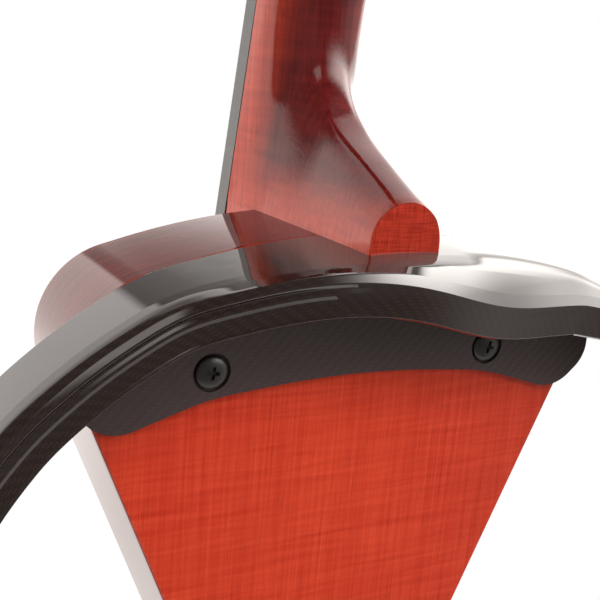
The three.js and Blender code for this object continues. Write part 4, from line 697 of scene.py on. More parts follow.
# Carbon frame: points of its course as shares of a bout's half width and of the length.
UPPER, WAIST, LOWER = 170, 114, 220
TREBLE_SHOULDER = [(0.57, 0.0265), (0.688, 0.0445), (0.806, 0.069), (0.93, 0.112)]
BASS_SHOULDER = [(0.53, 0.0205), (0.7, 0.0375), (0.836, 0.061), (0.942, 0.102)]
UPPER_BOUT = [(1, 0.172), (0.955, 0.25), (0.82, 0.335)]
WAIST_BOUT = [(1.03, 0.415), (1, 0.47), (1.07, 0.54)]
LOWER_BOUT = [(0.69, 0.625), (0.92, 0.71), (1, 0.8), (0.95, 0.885), (0.78, 0.953), (0.52, 0.987), (0.3, 1),
              (0, 1)]


def frame_outline():
    length = LENGTH + GAP + 1.6

    def scaled(shares, half):
        return [(x * half, -z * length) for x, z in shares]

    crown = [(share * UPPER, shoulder_z(share * UPPER)) for share in (0, 0.18, 0.35, 0.48)]
    shared = scaled(UPPER_BOUT, UPPER) + scaled(WAIST_BOUT, WAIST) + scaled(LOWER_BOUT, LOWER)
    treble, bass = (crown + scaled(shoulder, UPPER) + shared for shoulder in (TREBLE_SHOULDER, BASS_SHOULDER))
    return catmull(treble + [(-x, z) for x, z in bass[1:-1][::-1]], True, 40)


def frame_section(x, z):
    """Corners as (depth, height, radius), from the lap over the core round the rim and back under the lap. It
    is a saddle at the ends and a wedge on the arms."""
    at_crown = z > -LENGTH / 4
    at_ends = at_crown or z < -LENGTH * 3 / 4
    arm = smoothstep(abs(x), 112, 136) if at_ends else 1
    back, rim, groove = 28, 0, 1
    if at_crown:
        back += 9 * math.exp(-(x / 55) ** 2)
        rim -= 12 * math.exp(-((x + 46) / 46) ** 2)
        if x < 45:
            groove = 0.06 + 0.94 * max(smoothstep(x, 5, 45), smoothstep(-x, 130, 165))

    def mix(saddle, wedge):
        return saddle + (wedge - saddle) * arm

    return [
        (-5, 0, 0.35),
        (back - 9.5, 0.01 * rim, 7),
        (back - 4.8, 0.3 * rim - 0.3, 6),
        (back - 1.7, 0.85 * rim - 1.8, 3),
        (back, rim - 4.6, 0.9),
        (back - 1.1 * groove, rim - 6.2, 0.7),
        (back, rim - 8, 1.3),
        (back - 0.8 * groove, rim - 9.9, 0.9),
        (back - 0.63 * groove, rim - 15.0, 0.8),
        (back, rim - 16.1, 0.5),
        (back - 1.8, rim - 17, 0.7),
        (0.66 * back, mix(rim - 16.1, -13.4), 3),
        (mix(3.5, 0.25 * back), mix(-14, -6), 3),
        (mix(3.5, 0), mix(-1.6, -3), 0.8),
        (-5, -1.6, 0.3),
    ]


def frame_shell():
    outline = resample(frame_outline(), 700)
    rings = []
    for i, (x, z) in enumerate(outline):
        along = unit(outline[(i + 1) % len(outline)] - outline[i - 1])
        section = rounded(frame_section(x, z), arc=4)
        rings.append([spot(x - along[1] * h, d, z + along[0] * h) for d, h in section])
    return loft("frame_shell", rings, MATERIALS["carbon_gloss"], looped=True, smooth=40)


def level_crown(shell):
    """The lacquer on the crown's top is rubbed flat, so it mirrors the heel like a level sheet."""
    mesh = shell.data
    mesh.shade_smooth()
    sums = [Vector() for _ in mesh.vertices]
    for face in mesh.polygons:
        for i in face.vertices:
            sums[i] += face.normal * face.area
    normals = []
    for vertex, total in zip(mesh.vertices, sums):
        x, y, z = (vertex.co - spot(0, 0, 0)) * 1000
        n = total.normalized()
        share = smoothstep(x, -34, -22) * (1 - smoothstep(x, 55, 80)) * smoothstep(n.z, 0.58, 0.75)
        share *= smoothstep(z, -30, -20) * smoothstep(y, 0, 8)
        level = Vector((0.17 * min(max(x, 0) / 60, 1), 0, 1))
        normals.append((n * (1 - share) + level * share).normalized())
    mesh.normals_split_custom_set_from_vertices(normals)


level_crown(stands_for(frame_shell(), "carbon_frame"))

# Bracket plates and screws
PLATE_FACE = GAP + 2.9
HEAD_SEAT = PLATE_FACE - 1.5
# A screw's length, shank, head, rim and dome, and its cross's arm, width and depth
BRACKET_HEAD = (22, 2.5, 6, 0.8, 1.9, 2.6, 1.25, 1.5)
COVER_HEAD = (10, 1.3, 2.4, 0.4, 0.7, 1.3, 0.5, 0.7)


def plate_outline(half, middle, end, edge, way):
    """A plate that reaches from the frame at its edge up or down to its ends and less far to its middle."""
    side = [
        ((half - 28) * 0.72, way * (middle + (end - middle) * 0.32), 90),
        (half - 14, way * end, 16),
        (half, way * (end - 12.6), 13),
        (half, way * 40, 0),
        (half * 0.86, way * 25.6, 9),
        (half * 0.5, way * 11.2, 0),
    ]
    return rounded([(0, way * middle, 360), *mirrored(side)]) + np.array([0, edge])


def bracket(end, outline):
    plate = prism(end + "_plate", outline, GAP, PLATE_FACE, MATERIALS["carbon_matte"])
    cutters = []
    for side in ("treble", "bass"):
        x, z = BRACKET_SCREWS[f"{end}_screw_{side}"]
        cutters.append(bore(SHANK_HOLE, -OVER, PLATE_FACE + OVER, spot(x, 0, z), Y, 32))
        cutters.append(bore(HEAD_HOLE, HEAD_SEAT, PLATE_FACE + OVER, spot(x, 0, z), Y, 96))
    soften(carve(plate, cutters), 0.28, 3)
    stands_for(flat_uv(plate), end + "_bracket_plate")


def cross_screw(name, node, place, angle, seat, size):
    length, shank, head, rim, dome, arm, width, deep = size
    x, z = place
    top = seat + rim + dome
    profile = [(0, -length), (shank, -length), (shank, seat), (head - 0.25, seat), (head, seat + 0.2),
               (head, seat + rim)]
    profile += [(head * math.cos(a), seat + rim + dome * math.sin(a)) for a in angles(RIGHT_ANGLE, 14, 1)]
    screw = lathe(name, profile, spot(x, 0, z), Y, BLACK_STEEL, 72)
    cutters = []
    for a in (math.radians(angle), math.radians(angle) + RIGHT_ANGLE):
        way = Vector((math.cos(a), 0, math.sin(a))) * arm / 1000
        side = Vector((-math.sin(a), 0, math.cos(a))) * width / 2000
        cutters.append(loft("cross", [
            [spot(x, y, z) + way * p * wide + side * q for p, q in ((-1, -1), (1, -1), (1, 1), (-1, 1))]
            for y, wide in ((top - deep, 0.55), (top + 1, 1.25))
        ], CUTTER))
    soften(carve(screw, cutters), 0.08, angle=45)
    stands_for(screw, node)


bracket("upper", plate_outline(108, 49, 66, 0, -1))
bracket("lower", plate_outline(76, 46, 58, -LENGTH, 1))
for (name, place), angle in zip(BRACKET_SCREWS.items(), (6, 14, 50, 74)):
    cross_screw(name + "_head", name, place, angle, HEAD_SEAT + GAP / 2, BRACKET_HEAD)
for number, (place, angle) in enumerate(zip(COVER_SCREWS, (20, 65, 5, 40)), 1):
    cross_screw(f"cover_head_{number}", f"cover_screw_{number}", place, angle, -1.3, COVER_HEAD)

# Neck, pegbox and scroll: d runs to the back from the plane under the fingerboard, s up along it.
ANGLE = math.atan(0.135)
COS, SIN = math.cos(ANGLE), math.sin(ANGLE)
GLUE = -DEPTH - 17
NECK, PEGBOX = 280, 138
NUT_WIDTH, FOOT_WIDTH = 31, 45
BUTTON_BACK, BUTTON_HEIGHT, BUTTON_WIDTH, HEEL_SPREAD = 26, 17.3, 28, 13
LEAN, PEG_DROP, PEG_R, PEG_TAPER = 14, 15, 5.2, 1.4
PEGS = {"c": (-1, 26), "a": (1, 44), "g": (-1, 74), "d": (1, 92)}
NECK_WOOD = varnished("neck_wood", (0.34, 0.02, 0.007), (0.74, 0.085, 0.025), streak=(700, 700, 10),
                      figure=(40, 40, 300), figure_share=0.24, peel=0.8, peel_size=640,
                      dark_above=((0.06, 0.005, 0.005), (0.2, 0.015, 0.013)))


def neck_plane(d, s):
    return GLUE + d * COS + s * SIN, s * COS - d * SIN


def on_neck(x, d, s):
    return spot(x, *neck_plane(d, s))


def neck_half(s):
    return (FOOT_WIDTH + (NUT_WIDTH - FOOT_WIDTH) * s / NECK) / 2


def heel_half(share):
    return (BUTTON_WIDTH + HEEL_SPREAD * share) / 2


def on_crown(share, height=None):
    """A place from the button's face forwards, at a height in heights of the button, or else at the base."""
    return BUTTON_BACK - (BUTTON_BACK - GLUE) * share, -0.9 if height is None else height * BUTTON_HEIGHT


# Widths of the section at its heights, for the button, the heel and the neck
HEIGHTS = [0, 0.15, 0.32, 0.5, 0.66, 0.8, 0.9, 0.965, 1]
FORMS = np.array([
    [1, 1, 0.985, 0.93, 0.83, 0.67, 0.5, 0.33, 0.14],
    [1, 0.91, 0.81, 0.71, 0.625, 0.555, 0.495, 0.43, 0.28],
    [1, 0.995, 0.98, 0.93, 0.85, 0.71, 0.53, 0.34, 0.13],
])
# Base, ridge, half width, shares of the three forms, and how far the base flares to the fingerboard's edge
NECK_KEYS = [
    (on_crown(0), on_crown(0, 1), heel_half(0), (1, 0, 0), 0),
    (on_crown(0.24), on_crown(0.24, 1.52), heel_half(0.22), (0.5, 0.5, 0), 0),
    (on_crown(0.5), on_crown(0.46, 2.04), heel_half(0.5), (0.1, 0.9, 0), 0),
    (on_crown(0.76), on_crown(0.575, 2.55), heel_half(0.76), (0, 0.6, 0.4), 0.3),
    (on_crown(1), on_crown(0.64, 3.15), heel_half(0.98), (0, 0.2, 0.8), 2.3),
    (neck_plane(0, 31), on_crown(0.662, 3.9), heel_half(1.02), (0, 0, 1), 1.3),
    (neck_plane(0, 63), on_crown(0.655, 4.75), heel_half(1.02), (0, 0, 1), 0.45),
    (neck_plane(0, 96), neck_plane(22.5, 98), neck_half(96), (0, 0, 1), 0.1),
    (neck_plane(0, 130), neck_plane(22, 130), neck_half(130), (0, 0, 1), 0),
    (neck_plane(0, NECK), neck_plane(19, NECK), neck_half(NECK), (0, 0, 1), 0),
]


def neck_rings():
    per, weight = 16, 20
    bases, ridges, halves, forms, flares = zip(*NECK_KEYS)
    numbers = np.arange(len(NECK_KEYS))
    places = np.arange((len(NECK_KEYS) - 1) * per + 1) / per
    ridge = catmull(ridges, False, per)
    blends = catmull([(half, *[weight * f for f in form]) for half, form in zip(halves, forms)], False, per,
                     power=0.0001)
    flare = np.interp(places, numbers, flares)
    sharp = np.stack([np.interp(places, numbers, column) for column in np.array(bases).T], axis=1)
    soft = sharp.copy()
    for _ in range(90):
        soft[1:-1] = (soft[:-2] + 2 * soft[1:-1] + soft[2:]) / 4
    rings = []
    for i, (half, *form) in enumerate(blends):
        form = np.clip(np.array(form) / weight, 0, 1)
        side = list(zip((form / form.sum()) @ FORMS, HEIGHTS))
        ring = []
        for w, h in catmull(side + [(-w, h) for w, h in reversed(side)], False, 4):
            share = smoothstep(h, 0, 0.3)
            base = sharp[i] * (1 - share) + soft[i] * share
            out = half * abs(w) + flare[i] * max(0, 1 - h / 0.45) ** 1.5
            ring.append(spot(math.copysign(out, w), *(base * (1 - h) + ridge[i] * h)))
        rings.append(ring)
    return rings


def neck_shaft():
    first, *others = neck_rings()
    middle = sum(first, Vector()) / len(first)
    edge = []
    for a in (math.radians(degrees) for degrees in (0, 25, 50, 75, 90)):
        shrink, forward = 1 - 0.05 * (1 - math.sin(a)), Vector((0, -0.0005 * (1 - math.cos(a)), 0))
        edge.append([middle + (p - middle) * shrink + forward for p in first])
    body = loft("shaft", [*edge, *others], NECK_WOOD, smooth=50)
    body.data.materials.append(BUTTON_END)
    for face in body.data.polygons:
        if len(face.vertices) > 8 and abs(face.normal.y) > 0.9 and face.center.y > BACK:
            face.material_index = 1
    front, back = 22.6, 19.9
    rings = []
    for z in (-68, -0.8):
        plane, core_side = GLUE + z * math.tan(ANGLE), -DEPTH - GAP
        rings.append([spot(-front, plane, z), spot(front, plane, z), spot(back, core_side, z),
                      spot(-back, core_side, z)])
    return [body, flat_uv(soften(loft("root", rings, NECK_WOOD), 0.3, 3))]


def pegbox_half(share):
    return (38 - 11 * share) / 2


def peg_place(name):
    side, along = PEGS[name]
    share = along / PEGBOX
    return side, LEAN * share ** 2 + PEG_DROP, NECK + along, pegbox_half(share)


def pegbox():
    keys = []
    for share, deep in ((-0.06, 0.5), (0, 0.72), (0.12, 0.9), (0.3, 1), (0.45, 1.01), (0.6, 1), (0.85, 0.92),
                        (1, 0.84)):
        lean = LEAN * max(share, 0) ** 2
        half = NUT_WIDTH / 2 if share < 0 else pegbox_half(share)
        keys.append((half, lean, lean + 30 * deep, NECK + share * PEGBOX))
    solid = []
    for half, lean, back, s in catmull(keys, False, 8):
        shape = rounded([(half, lean, 0.6), (half, back, half * 0.55), (-half, back, half * 0.55),
                         (-half, lean, 0.6)], arc=6)
        solid.append([on_neck(x, d, s) for x, d in shape])
    channel = []
    for share in (0.055, 0.1, 0.5, 0.85, 0.92):
        half, front = pegbox_half(share) - 7, LEAN * share ** 2
        channel.append([on_neck(x, d, NECK + share * PEGBOX) for x, d in (
            (half, front - OVER), (half, front + 25), (-half, front + 25), (-half, front - OVER))])
    cutters = [loft("channel", channel, CUTTER)]
    for name in PEGS:
        side, d, s, half = peg_place(name)
        hole = [(PEG_R + GAP, -half - 4), (PEG_R + PEG_TAPER + GAP, half + 4)]
        cutters.append(lathe("hole", hole, on_neck(0, d, s), (side, 0, 0), CUTTER, 32))
    return flat_uv(soften(carve(loft("pegbox", solid, NECK_WOOD, smooth=40), cutters), 0.5))


def scroll():
    radius, turns, steps = 31, 2.15, 220
    d, s = LEAN + radius * 0.15, NECK + PEGBOX + radius * 0.72
    rings = []
    for k in range(steps + 1):
        phi = TURN * turns * k / steps
        outer, next_turn = (radius * 0.67 ** (angle / TURN) for angle in (phi, phi + TURN))
        inner = min(next_turn * 0.93, outer - 2)
        half = 13.5 + 7 * (k / steps) ** 1.1
        points = rounded([(half, outer, 1.6), (half, inner, 0.4), (-half, inner, 0.4), (-half, outer, 1.6)],
                         arc=4)
        a = phi - math.radians(30)
        rings.append([on_neck(x, d + r * math.cos(a), s + r * math.sin(a)) for x, r in points])
    eye = [(0, -28), (5, -28), (7.2, -27), (8, -25), (8, 25), (7.2, 27), (5, 28), (0, 28)]
    return [loft("volute", rings, NECK_WOOD, smooth=40),
            lathe("eye", eye, on_neck(0, d, s), X, NECK_WOOD, 48, smooth=45)]


def peg_shape(name):
    side, d, s, half = peg_place(name)
    place, axis = on_neck(0, d, s), (side, 0, 0)
    collar = half + 0.6
    head = collar + 15
    profile = [
        (0, -half - 3), (3.4, -half - 3), (4.2, -half - 2.6), (PEG_R, -half), (PEG_R + PEG_TAPER, half),
        (PEG_R + PEG_TAPER, collar),
        (8.4, collar), (9, collar + 0.6), (9, collar + 2.2), (8.2, collar + 3), (6.2, collar + 3.6),
        (4.7, collar + 6), (4.5, head - 4), (5.2, head + 2), (5.2, head + 6), (0, head + 9),
    ]
    wing = [(15 * max(math.sin(a), 0) ** 0.9, head + 15 - 15 * math.cos(a)) for a in angles(math.pi, 28)]
    pip = [(0, head + 29), (2.6, head + 29.2), (3, head + 29.6), (2.2, head + 29.95), (0, head + 30)]
    whole = joined(f"peg_{name}_turned", [
        lathe("peg", profile, place, axis, EBONY, 48, smooth=40),
        lathe("wing", wing, place, axis, EBONY, 48, smooth=60, side=on_neck(0, 1, 0) - on_neck(0, 0, 0),
              thin=4 / 15),
        lathe("pip", pip, place, axis, STEEL, 32, smooth=40),
    ])
    stands_for(whole, "peg_" + name, body="peg_" + name)


stands_for(joined("neck_shape", [*neck_shaft(), pegbox(), *scroll()]), "neck")
for name in PEGS:
    peg_shape(name)

# Fingerboard and nut
BOARD, BOARD_END_WIDTH, BOARD_EDGE = 585, 62, 9
ARCH_R = 64
NUT_HALF, NUT_SPREAD, NUT_LENGTH = NUT_WIDTH / 2, 22, 6
STRINGS = {"c": 0.8, "g": 0.6, "d": 0.5, "a": 0.42}
STRING_SHARES = (-0.5, -1 / 6, 1 / 6, 0.5)


def board_top(half, x):
    return GAP + BOARD_EDGE + math.sqrt(ARCH_R ** 2 - x * x) - math.sqrt(ARCH_R ** 2 - half * half)


def board_ring(s, hollow):
    half = (NUT_WIDTH + (BOARD_END_WIDTH - NUT_WIDTH) * (NECK - s) / BOARD) / 2
    top = []
    for k in range(25):
        x = half * (1 - 2 * k / 24)
        edge = 1.1 * max(0, (abs(x) - half + 1.6) / 1.6) ** 2
        top.append(on_neck(x, edge - board_top(half, x), s))
    under = [(-1, 0), (-0.8, 0), (-0.55, hollow), (-0.3, hollow * 1.02), (0.3, hollow * 1.02), (0.55, hollow),
             (0.8, 0), (1, 0)]
    return top + [on_neck(share * half, -GAP - depth, s) for share, depth in under]


def board_shape():
    """Solid over the neck and hollow below it, where it stands free."""
    edge, free = 0.6, -70
    places = [NECK, *[NECK - edge - down for down in angles(350, 20)[:-1]], free, free - 1.5,
              *[free - 4 - down for down in angles(230, 14)[:-1]], NECK - BOARD + edge, NECK - BOARD]
    rings = [board_ring(s, 0 if s > free - 1 else 2 if s > free - 2 else 4) for s in places]
    return loft("board", rings, EBONY)


def nut_shape():
    rings = []
    for share, lift in ((0, 1.0), (0.08, 1.2), (0.5, 1.15), (0.9, 0.7), (1, 0.5)):
        s = NECK + GAP + share * NUT_LENGTH
        top = []
        for k in range(33):
            x = NUT_HALF * (1 - 2 * k / 32)
            off = min(abs(x - NUT_SPREAD * f) for f in STRING_SHARES)
            notch = 0.3 * max(0.0, 0.55 - 0.6 * off)
            top.append(on_neck(x, notch - lift - board_top(NUT_HALF, x), s))
        rings.append(top + [on_neck(-NUT_HALF, -GAP, s), on_neck(NUT_HALF, -GAP, s)])
    return loft("nut_shape", rings, EBONY)


stands_for(board_shape(), "fingerboard")
stands_for(nut_shape(), "nut")

# Bridge, from the pickup's face to its crest
STRING_LENGTH, STRING_RISE = 692, 7.6
PICKUP = 3
BRIDGE_SPREAD, BRIDGE_FOOT_Y = 47, -DEPTH + PICKUP_RECESS - GAP - PICKUP - GAP
BRIDGE_CREST = np.array(neck_plane(-board_top(BOARD_END_WIDTH / 2, 0) - STRING_RISE, NECK - STRING_LENGTH))
BRIDGE_H = BRIDGE_FOOT_Y - BRIDGE_CREST[0]
BRIDGE_Z = BRIDGE_CREST[1]


def sag(x):
    return 62 - math.sqrt(62 * 62 - x * x)


def bridge_shape():
    top = [(29 * share, BRIDGE_H - sag(29 * share), 0) for share in (1, 0.8, 0.6, 0.4, 0.2)]
    outer = [(19, 0, 0.5), (45, 0, 0.8), (45, 7, 2), (34.2, 16.8, 8), (28.35, BRIDGE_H * 0.47, 8),
             (31.5, BRIDGE_H * 0.62, 6), *top]
    left = [(-x, y, radius) for x, y, radius in reversed(outer)]
    legs = [(-17.1, 20.4, 6), (0, 34, 9), (17.1, 20.4, 6)]
    outline = rounded([*outer, (0, BRIDGE_H, 0), *left, *legs], step=math.radians(5))
    rings = [[spot(x, BRIDGE_FOOT_Y - y, BRIDGE_Z + level * (1 - 8 / 11 * y / BRIDGE_H)) for x, y in outline]
             for level in (-5.5, -5.1, 5.1, 5.5)]
    holes = [(0, 0.66, 7, 48), (21, 0.4, 5.25, 48), (-21, 0.4, 5.25, 48), (0, 0.56, 2.6, 32)]
    cutters = [bore(radius, -8, 8, spot(x, BRIDGE_FOOT_Y - share * BRIDGE_H, BRIDGE_Z), Z, sides)
               for x, share, radius, sides in holes]
    return soften(carve(loft("bridge_shape", rings, MATERIALS["maple_pale"]), cutters), 0.3)


stands_for(bridge_shape(), "bridge")

# Tailpiece, its tuner screws and cord: front is away from the core and down runs to the saddle.
TAIL, TAIL_WIDTH, TAIL_THICK, TAIL_UNDER = 228, 62, 9, -4.05
TUNER_DOWN = 54
CORD_R = 1.3
SADDLE_DEPTH, SADDLE_RISE = 7, 9
SADDLE_CORD_Y = -DEPTH - GAP - SADDLE_DEPTH - GAP - CORD_R
TAIL_DOWN = unit(np.array([SADDLE_CORD_Y, -LENGTH + SADDLE_RISE]) - BRIDGE_CREST)
TAIL_FRONT = np.array([TAIL_DOWN[1], -TAIL_DOWN[0]])
TUNERS = {name: share * 36 for name, share in zip(STRINGS, STRING_SHARES)}


def on_tail(x, front, down):
    return spot(x, *(BRIDGE_CREST + TAIL_FRONT * front + TAIL_DOWN * (116 + down)))


FRONT_AXIS = on_tail(0, 1, 0) - on_tail(0, 0, 0)


def tailpiece_shape():
    rings = []
    for share, wide in ((0, 0.86), (0.006, 0.93), (0.03, 1), (0.25, 1), (0.5, 1), (0.75, 0.985), (0.96, 0.96),
                        (0.99, 0.86), (1, 0.74)):
        half = (TAIL_WIDTH / 2 - 14 * share) * wide
        shares = [1 - 2 * k / 20 for k in range(21)]
        rings.append([
            *[on_tail(f * half, TAIL_UNDER + TAIL_THICK * (1 - 0.35 * f ** 2), share * TAIL) for f in shares],
            on_tail(-half, TAIL_UNDER, share * TAIL), on_tail(half, TAIL_UNDER, share * TAIL),
        ])
    cutters = []
    for x in TUNERS.values():
        corners = [(x + side * 2.3, down) for side, down in ((-1, 8), (1, 8), (1, 42), (-1, 42))]
        rings_cut = [[on_tail(u, f, down) for u, down in corners] for f in (-12, 12)]
        cutters.append(loft("slot", rings_cut, CUTTER))
        cutters.append(bore(1.8, -12, 12, on_tail(x, 0, TUNER_DOWN), FRONT_AXIS))
    return soften(carve(loft("tail_shape", rings, EBONY), cutters), 0.35)


def tuner_screw(name, x):
    low = TAIL_UNDER + TAIL_THICK + 1.5
    profile = [(0, -8.4), (1.5, -8.4), (1.5, low), (3.8, low), (4.2, low + 0.4), (4.2, low + 5.6),
               (3.9, low + 6.3), (3.2, low + 6.9), (0, low + 6.9)]
    screw = lathe(f"tuner_{name}_turned", profile, on_tail(x, 0, TUNER_DOWN), FRONT_AXIS, STEEL, 48)
    stands_for(screw, "tuner_screw_" + name, body="tuner_screw_" + name)


def string_route(name, share):
    """Round the peg, over the nut and the bridge and down to the ball under the lever's claw."""
    radius = STRINGS[name]
    side, place_d, place_s, half = peg_place(name)
    x, x_nut, x_bridge = share * NUT_SPREAD / 2, share * NUT_SPREAD, share * BRIDGE_SPREAD
    reach = PEG_R + PEG_TAPER * min(max((side * x + half) / (2 * half), 0), 1) + radius + GAP
    nut_top = -board_top(NUT_HALF, x_nut) - GAP / 2 - radius
    start = np.array([NECK + GAP + NUT_LENGTH - place_s, nut_top - 0.6 - place_d])
    touch = math.atan2(start[1], start[0]) + math.acos(reach / np.linalg.norm(start))
    winding = []
    for turned, shift in zip(angles(math.radians(280), 36), angles(math.copysign(radius, x), 36)):
        a = touch + turned
        winding.append(on_neck(x - shift, place_d + reach * math.sin(a), place_s + reach * math.cos(a)))
    y = BRIDGE_FOOT_Y - (BRIDGE_H - sag(x_bridge)) - radius - GAP / 2
    return [
        *reversed(winding),
        on_neck(x_nut, nut_top - 0.6, NECK + GAP + NUT_LENGTH), on_neck(x_nut, nut_top - 1.2, NECK + GAP),
        spot(x_bridge, y, BRIDGE_Z + 1.5), spot(x_bridge, y, BRIDGE_Z - 1.5),
        on_tail(TUNERS[name], 11, 12), on_tail(TUNERS[name], 11, 17.95),
    ]


def string_shape(name, share):
    route = string_route(name, share)
    profile = [(2.4 * math.sin(a), -2.4 * math.cos(a)) for a in angles(math.pi, 16)]
    whole = joined(f"string_{name}_wound", [
        tube("wire", route, STRINGS[name], STRING_WOUND),
        lathe("ball", profile, route[-1], FRONT_AXIS, STEEL, 24, smooth=50),
    ])
    stands_for(whole, "string_" + name)


def tail_cord():
    """From the tailpiece over the saddle and round the endpin's socket."""
    x, low, loop = 7, -2, SOCKET_R + 2 * GAP + CORD_R
    side = [on_tail(x, 0, TAIL - 18 + GAP), on_tail(x, 0, TAIL)]
    side += [spot(x, SADDLE_CORD_Y + back, up - LENGTH)
             for back, up in ((0, SADDLE_RISE), (0, 1.8), (2.45, low))]
    side += [ENDPIN + Vector((loop * math.cos(a), loop * math.sin(a), low)) / 1000
             for a in angles(RIGHT_ANGLE, 14)]
    other = [Vector((-p.x, p.y, p.z)) for p in reversed(side[:-1])]
    return tube("cord_shape", [*side, *other], CORD_R, MATERIALS["cord"])


def saddle_shape():
    profile = rounded([(0, 1, 0.01), (0.55, 1, 0.12), (1, 0.72, 0.18), (1, 0.25, 0.15), (0.7, 0, 0.05),
                       (0, 0, 0.01)], arc=5)
    rings = [[spot(x, -DEPTH - GAP - out * SADDLE_DEPTH * share, -LENGTH + GAP + rise * SADDLE_RISE)
              for out, rise in profile] for x, share in ((-19, 0.9), (-18.5, 1), (18.5, 1), (19, 0.9))]
    return loft("saddle_shape", rings, EBONY)


stands_for(tailpiece_shape(), "tailpiece")
for name, x in TUNERS.items():
    tuner_screw(name, x)
for name, share in zip(STRINGS, STRING_SHARES):
    string_shape(name, share)
stands_for(tail_cord(), "tail_cord")
stands_for(saddle_shape(), "saddle")

# Endpin and its clamp: heights are from the core's lower end.
ROD = 455
COLLAR = -4 - 14
FOOT = COLLAR - GAP - 22
ROD_LOW = FOOT + 8
THUMB = ENDPIN - Vector((0, 0, 0.011))
socket = lathe("socket_turned", [
    (0, COLLAR), (14, COLLAR), (15, -17.6), (17.6, -14.6), (18, -13.6), (18, -4.6), (17.4, -4),
    (SOCKET_R, -4), (SOCKET_R, SOCKET_DEPTH), (0, SOCKET_DEPTH),
], ENDPIN, Z, BLACK_STEEL, 96)
carve(socket, [bore(5.35, COLLAR - OVER, 45, ENDPIN, Z, 64), bore(3.3, 0, 21, THUMB, X, 32)])
stands_for(socket, "endpin_socket")
rod = lathe("rod_turned", [
    (0, ROD_LOW), (ROD_R - 0.4, ROD_LOW), (ROD_R, ROD_LOW + 0.4), (ROD_R, ROD_LOW + ROD - 0.4),
    (ROD_R - 0.4, ROD_LOW + ROD), (0, ROD_LOW + ROD),
], ENDPIN, Z, STEEL)
stands_for(rod, "endpin_rod", body="endpin")
foot = lathe("foot_turned", [(radius, FOOT + height) for radius, height in (
    (0, 0), (6.6, 0), (8, 0.6), (10.2, 3), (10.9, 6), (11, 9), (10.9, 10), (10.3, 10.6), (10.3, 11.4),
    (10.7, 12), (10, 16.5), (8.6, 20.5), (8.2, 21.6), (7.8, 22), (5.3, 22), (5.3, 7.7), (0, 7.7),
)], ENDPIN, Z, MATERIALS["rubber"], 96, smooth=40)
stands_for(foot, "endpin_foot", body="endpin")
thumb = joined("thumb_turned", [
    lathe("shank", [(0, 5.35), (2.6, 5.35), (3, 5.8), (3, 23)], THUMB, X, BLACK_STEEL, 32),
    grip("head", 7, 18.3, 27.3, THUMB, BLACK_STEEL),
])
stands_for(thumb, "endpin_thumbscrew", body="endpin_thumbscrew")


# Knobs and jacks on the treble side
def knob(name, z):
    centre, low = spot(0, CONTROL_Y, z), STEM + 2 * GAP
    top = low + 12
    cap = [(7.9, low + 9.4), (7.65, low + 10.6), (7.2, low + 11.6), (6.4, top), (0.01, top)]
    whole = joined(name + "_knob_turned", [
        grip("grip", 9, low, low + 9.6, centre, MATERIALS["plastic"]),
        lathe("cap", cap, centre, X, MATERIALS["plastic"]),
        lathe("spindle", [(2, 29), (2, low + 4)], centre, X, STEEL, 32),
        block((top - 0.5, CONTROL_Y - 0.5, z + 2), (top, CONTROL_Y + 0.5, z + 6.2), POINTER),
    ])
    stands_for(whole, name + "_knob", body=name + "_knob")


def jack(name, node, barrel, flange, hole, depth, z):
    centre, face, low = spot(0, CONTROL_Y, z), STEM + GAP, STEM - depth
    profile = [(0, low), (barrel, low), (barrel, face), (flange, face), (flange, face + 1.3),
               (flange - 0.5, face + 1.8), (flange - 1.4, face + 2), (0, face + 2)]
    body = lathe(name, profile, centre, X, STEEL, 72)
    carve(body, [bore(hole, low + 2, STEM + 5, centre, X, 48)])
    stands_for(soften(body, 0.15), node)


for name, z in KNOBS.items():
    knob(name, z)
jack("output_turned", "output_jack", OUTPUT_R, 8, 3.2, 30, OUTPUT_Z)
jack("phones_turned", "headphone_jack", PHONES_R, 6, 1.8, 22, PHONES_Z)

# Carried-over pieces: better materials and small round edges
for part in frame["record"]["subparts"]:
    node = frame["nodes"][part["node"]]
    wanted = MATERIALS[part["material_slot"]]
    if node.material_slots:
        for slot in node.material_slots:
            slot.material = wanted
    else:
        node.data.materials.append(wanted)
    node.modifiers.new("weld", "WELD").merge_threshold = 0.00001
    bevel(node, 0.3, 2, 40)


# Floor, which the camera sees almost white
def floor():
    mesh = bpy.data.meshes.new("floor")
    mesh.from_pydata([(0.8 * math.cos(a), 0.8 * math.sin(a), 0) for a in spread(96)], [], [tuple(range(96))])
    obj = bpy.data.objects.new("floor", mesh)
    scene.collection.objects.link(obj)
    f = Finish("floor")
    mesh.materials.append(f.finish(Base_Color=(0.9, 0.9, 0.9), Roughness=0.8))
    seen = f.times(f.node("ShaderNodeLightPath", out="Is Camera Ray"), 0.8)
    glow = f.node("ShaderNodeEmission", Color=(1, 1, 1))
    blend = f.node("ShaderNodeMixShader", i0=seen, i1=f.shader.outputs[0], i2=glow)
    f.set(f.tree.nodes["Material Output"].inputs["Surface"], blend)
    return obj


floor()


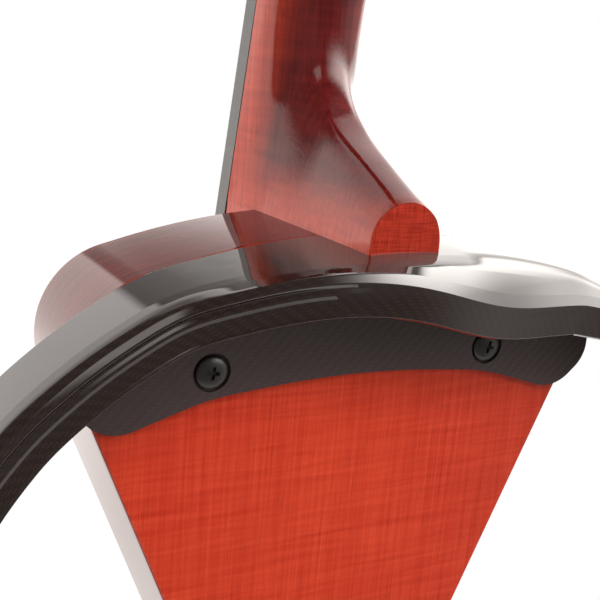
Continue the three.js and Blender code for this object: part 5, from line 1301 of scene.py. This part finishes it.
# World: a white backdrop in front of the strings and to both sides, dimmed below the horizon and straight up,
# with a strip low on the treble side and a dark panel over its middle; behind the back a dim room, a broad
# low lobe and a small bright bead. Angles are in degrees from the front towards the treble side. The camera
# sees plain white, and reflections see the backdrop and the lobe brighter than they light the object.
def studio():
    w = Nodes(bpy.data.worlds.new("studio"))
    w.tree.nodes.clear()
    right, back, height = w.split(w.coordinates("Generated"))
    angle = w.times(w.math("ARCTAN2", right, w.times(back, -1)), 180 / math.pi)
    strip = w.times(w.band(angle, (46, 60), (76, 84)), w.ease(height, -0.04, 0.14, 1.0, 0.0))
    sheet = w.math("ADD", w.band(angle, (-84, -72), (44, 62)), strip)
    panel = w.times(w.band(angle, (-40, -26), (0.5, 4)), w.band(height, (0.25, 0.42), (0.6, 0.72), 0.88))
    sheet = w.times(sheet, w.ease(height, -0.56, -0.3, 0.4), w.ease(height, 0.88, 0.98, 1.0, 0.4),
                    w.math("SUBTRACT", 1.0, panel))
    lobe = w.times(w.band(angle, (-168, -128), (-88, -58)), w.band(height, (0.02, 0.34), (0.54, 0.76)))
    bead = w.times(w.band(angle, (140, 154), (172, 180), 3.0), w.band(height, (0.42, 0.54), (0.62, 0.78)))
    room = w.times(w.ease(angle, -150, -110, 0.22), w.ease(angle, -84, -72, 1.0, 0.35),
                   w.ease(height, 0.2, 0.6, 1.0, 0.5))
    mirrored_ray = w.node("ShaderNodeLightPath", out="Is Glossy Ray")
    sheet = w.times(sheet, w.ease(mirrored_ray, 0.0, 1.0, 1.1, 2.2))
    lobe = w.times(lobe, w.ease(mirrored_ray, 0.0, 1.0, 5.2, 9.0))
    level = w.math("ADD", w.math("ADD", sheet, w.math("ADD", room, lobe)), bead)
    seen = w.node("ShaderNodeLightPath", out="Is Camera Ray")
    light = w.node("ShaderNodeBackground", Color=w.mix(seen, (1, 0.95, 0.91), (1, 1, 1)),
                   Strength=w.node("ShaderNodeMix", out=0, i0=seen, i2=level, i3=1.0))
    w.set(w.tree.nodes.new("ShaderNodeOutputWorld").inputs["Surface"], light)
    return w.owner


def softbox(name, place, target, size, power):
    """A lamp that isn't mirrored in the gloss."""
    data = bpy.data.lights.new(name, "AREA")
    data.shape = "RECTANGLE"
    data.size, data.size_y = size
    data.energy = power
    lamp = bpy.data.objects.new(name, data)
    lamp.location = place
    lamp.rotation_euler = (Vector(target) - Vector(place)).to_track_quat("-Z", "Y").to_euler()
    lamp.visible_glossy = False
    scene.collection.objects.link(lamp)


scene.world = studio()
softbox("left", (1.35, -0.2, 1.0), (0, 0, 0.83), (0.3, 0.5), 5.5)
softbox("fill", (0.36, 1.0, 1.82), (0, 0, 0.76), (0.5, 0.35), 9)

scene.render.engine = "CYCLES"
scene.view_settings.view_transform = "Standard"
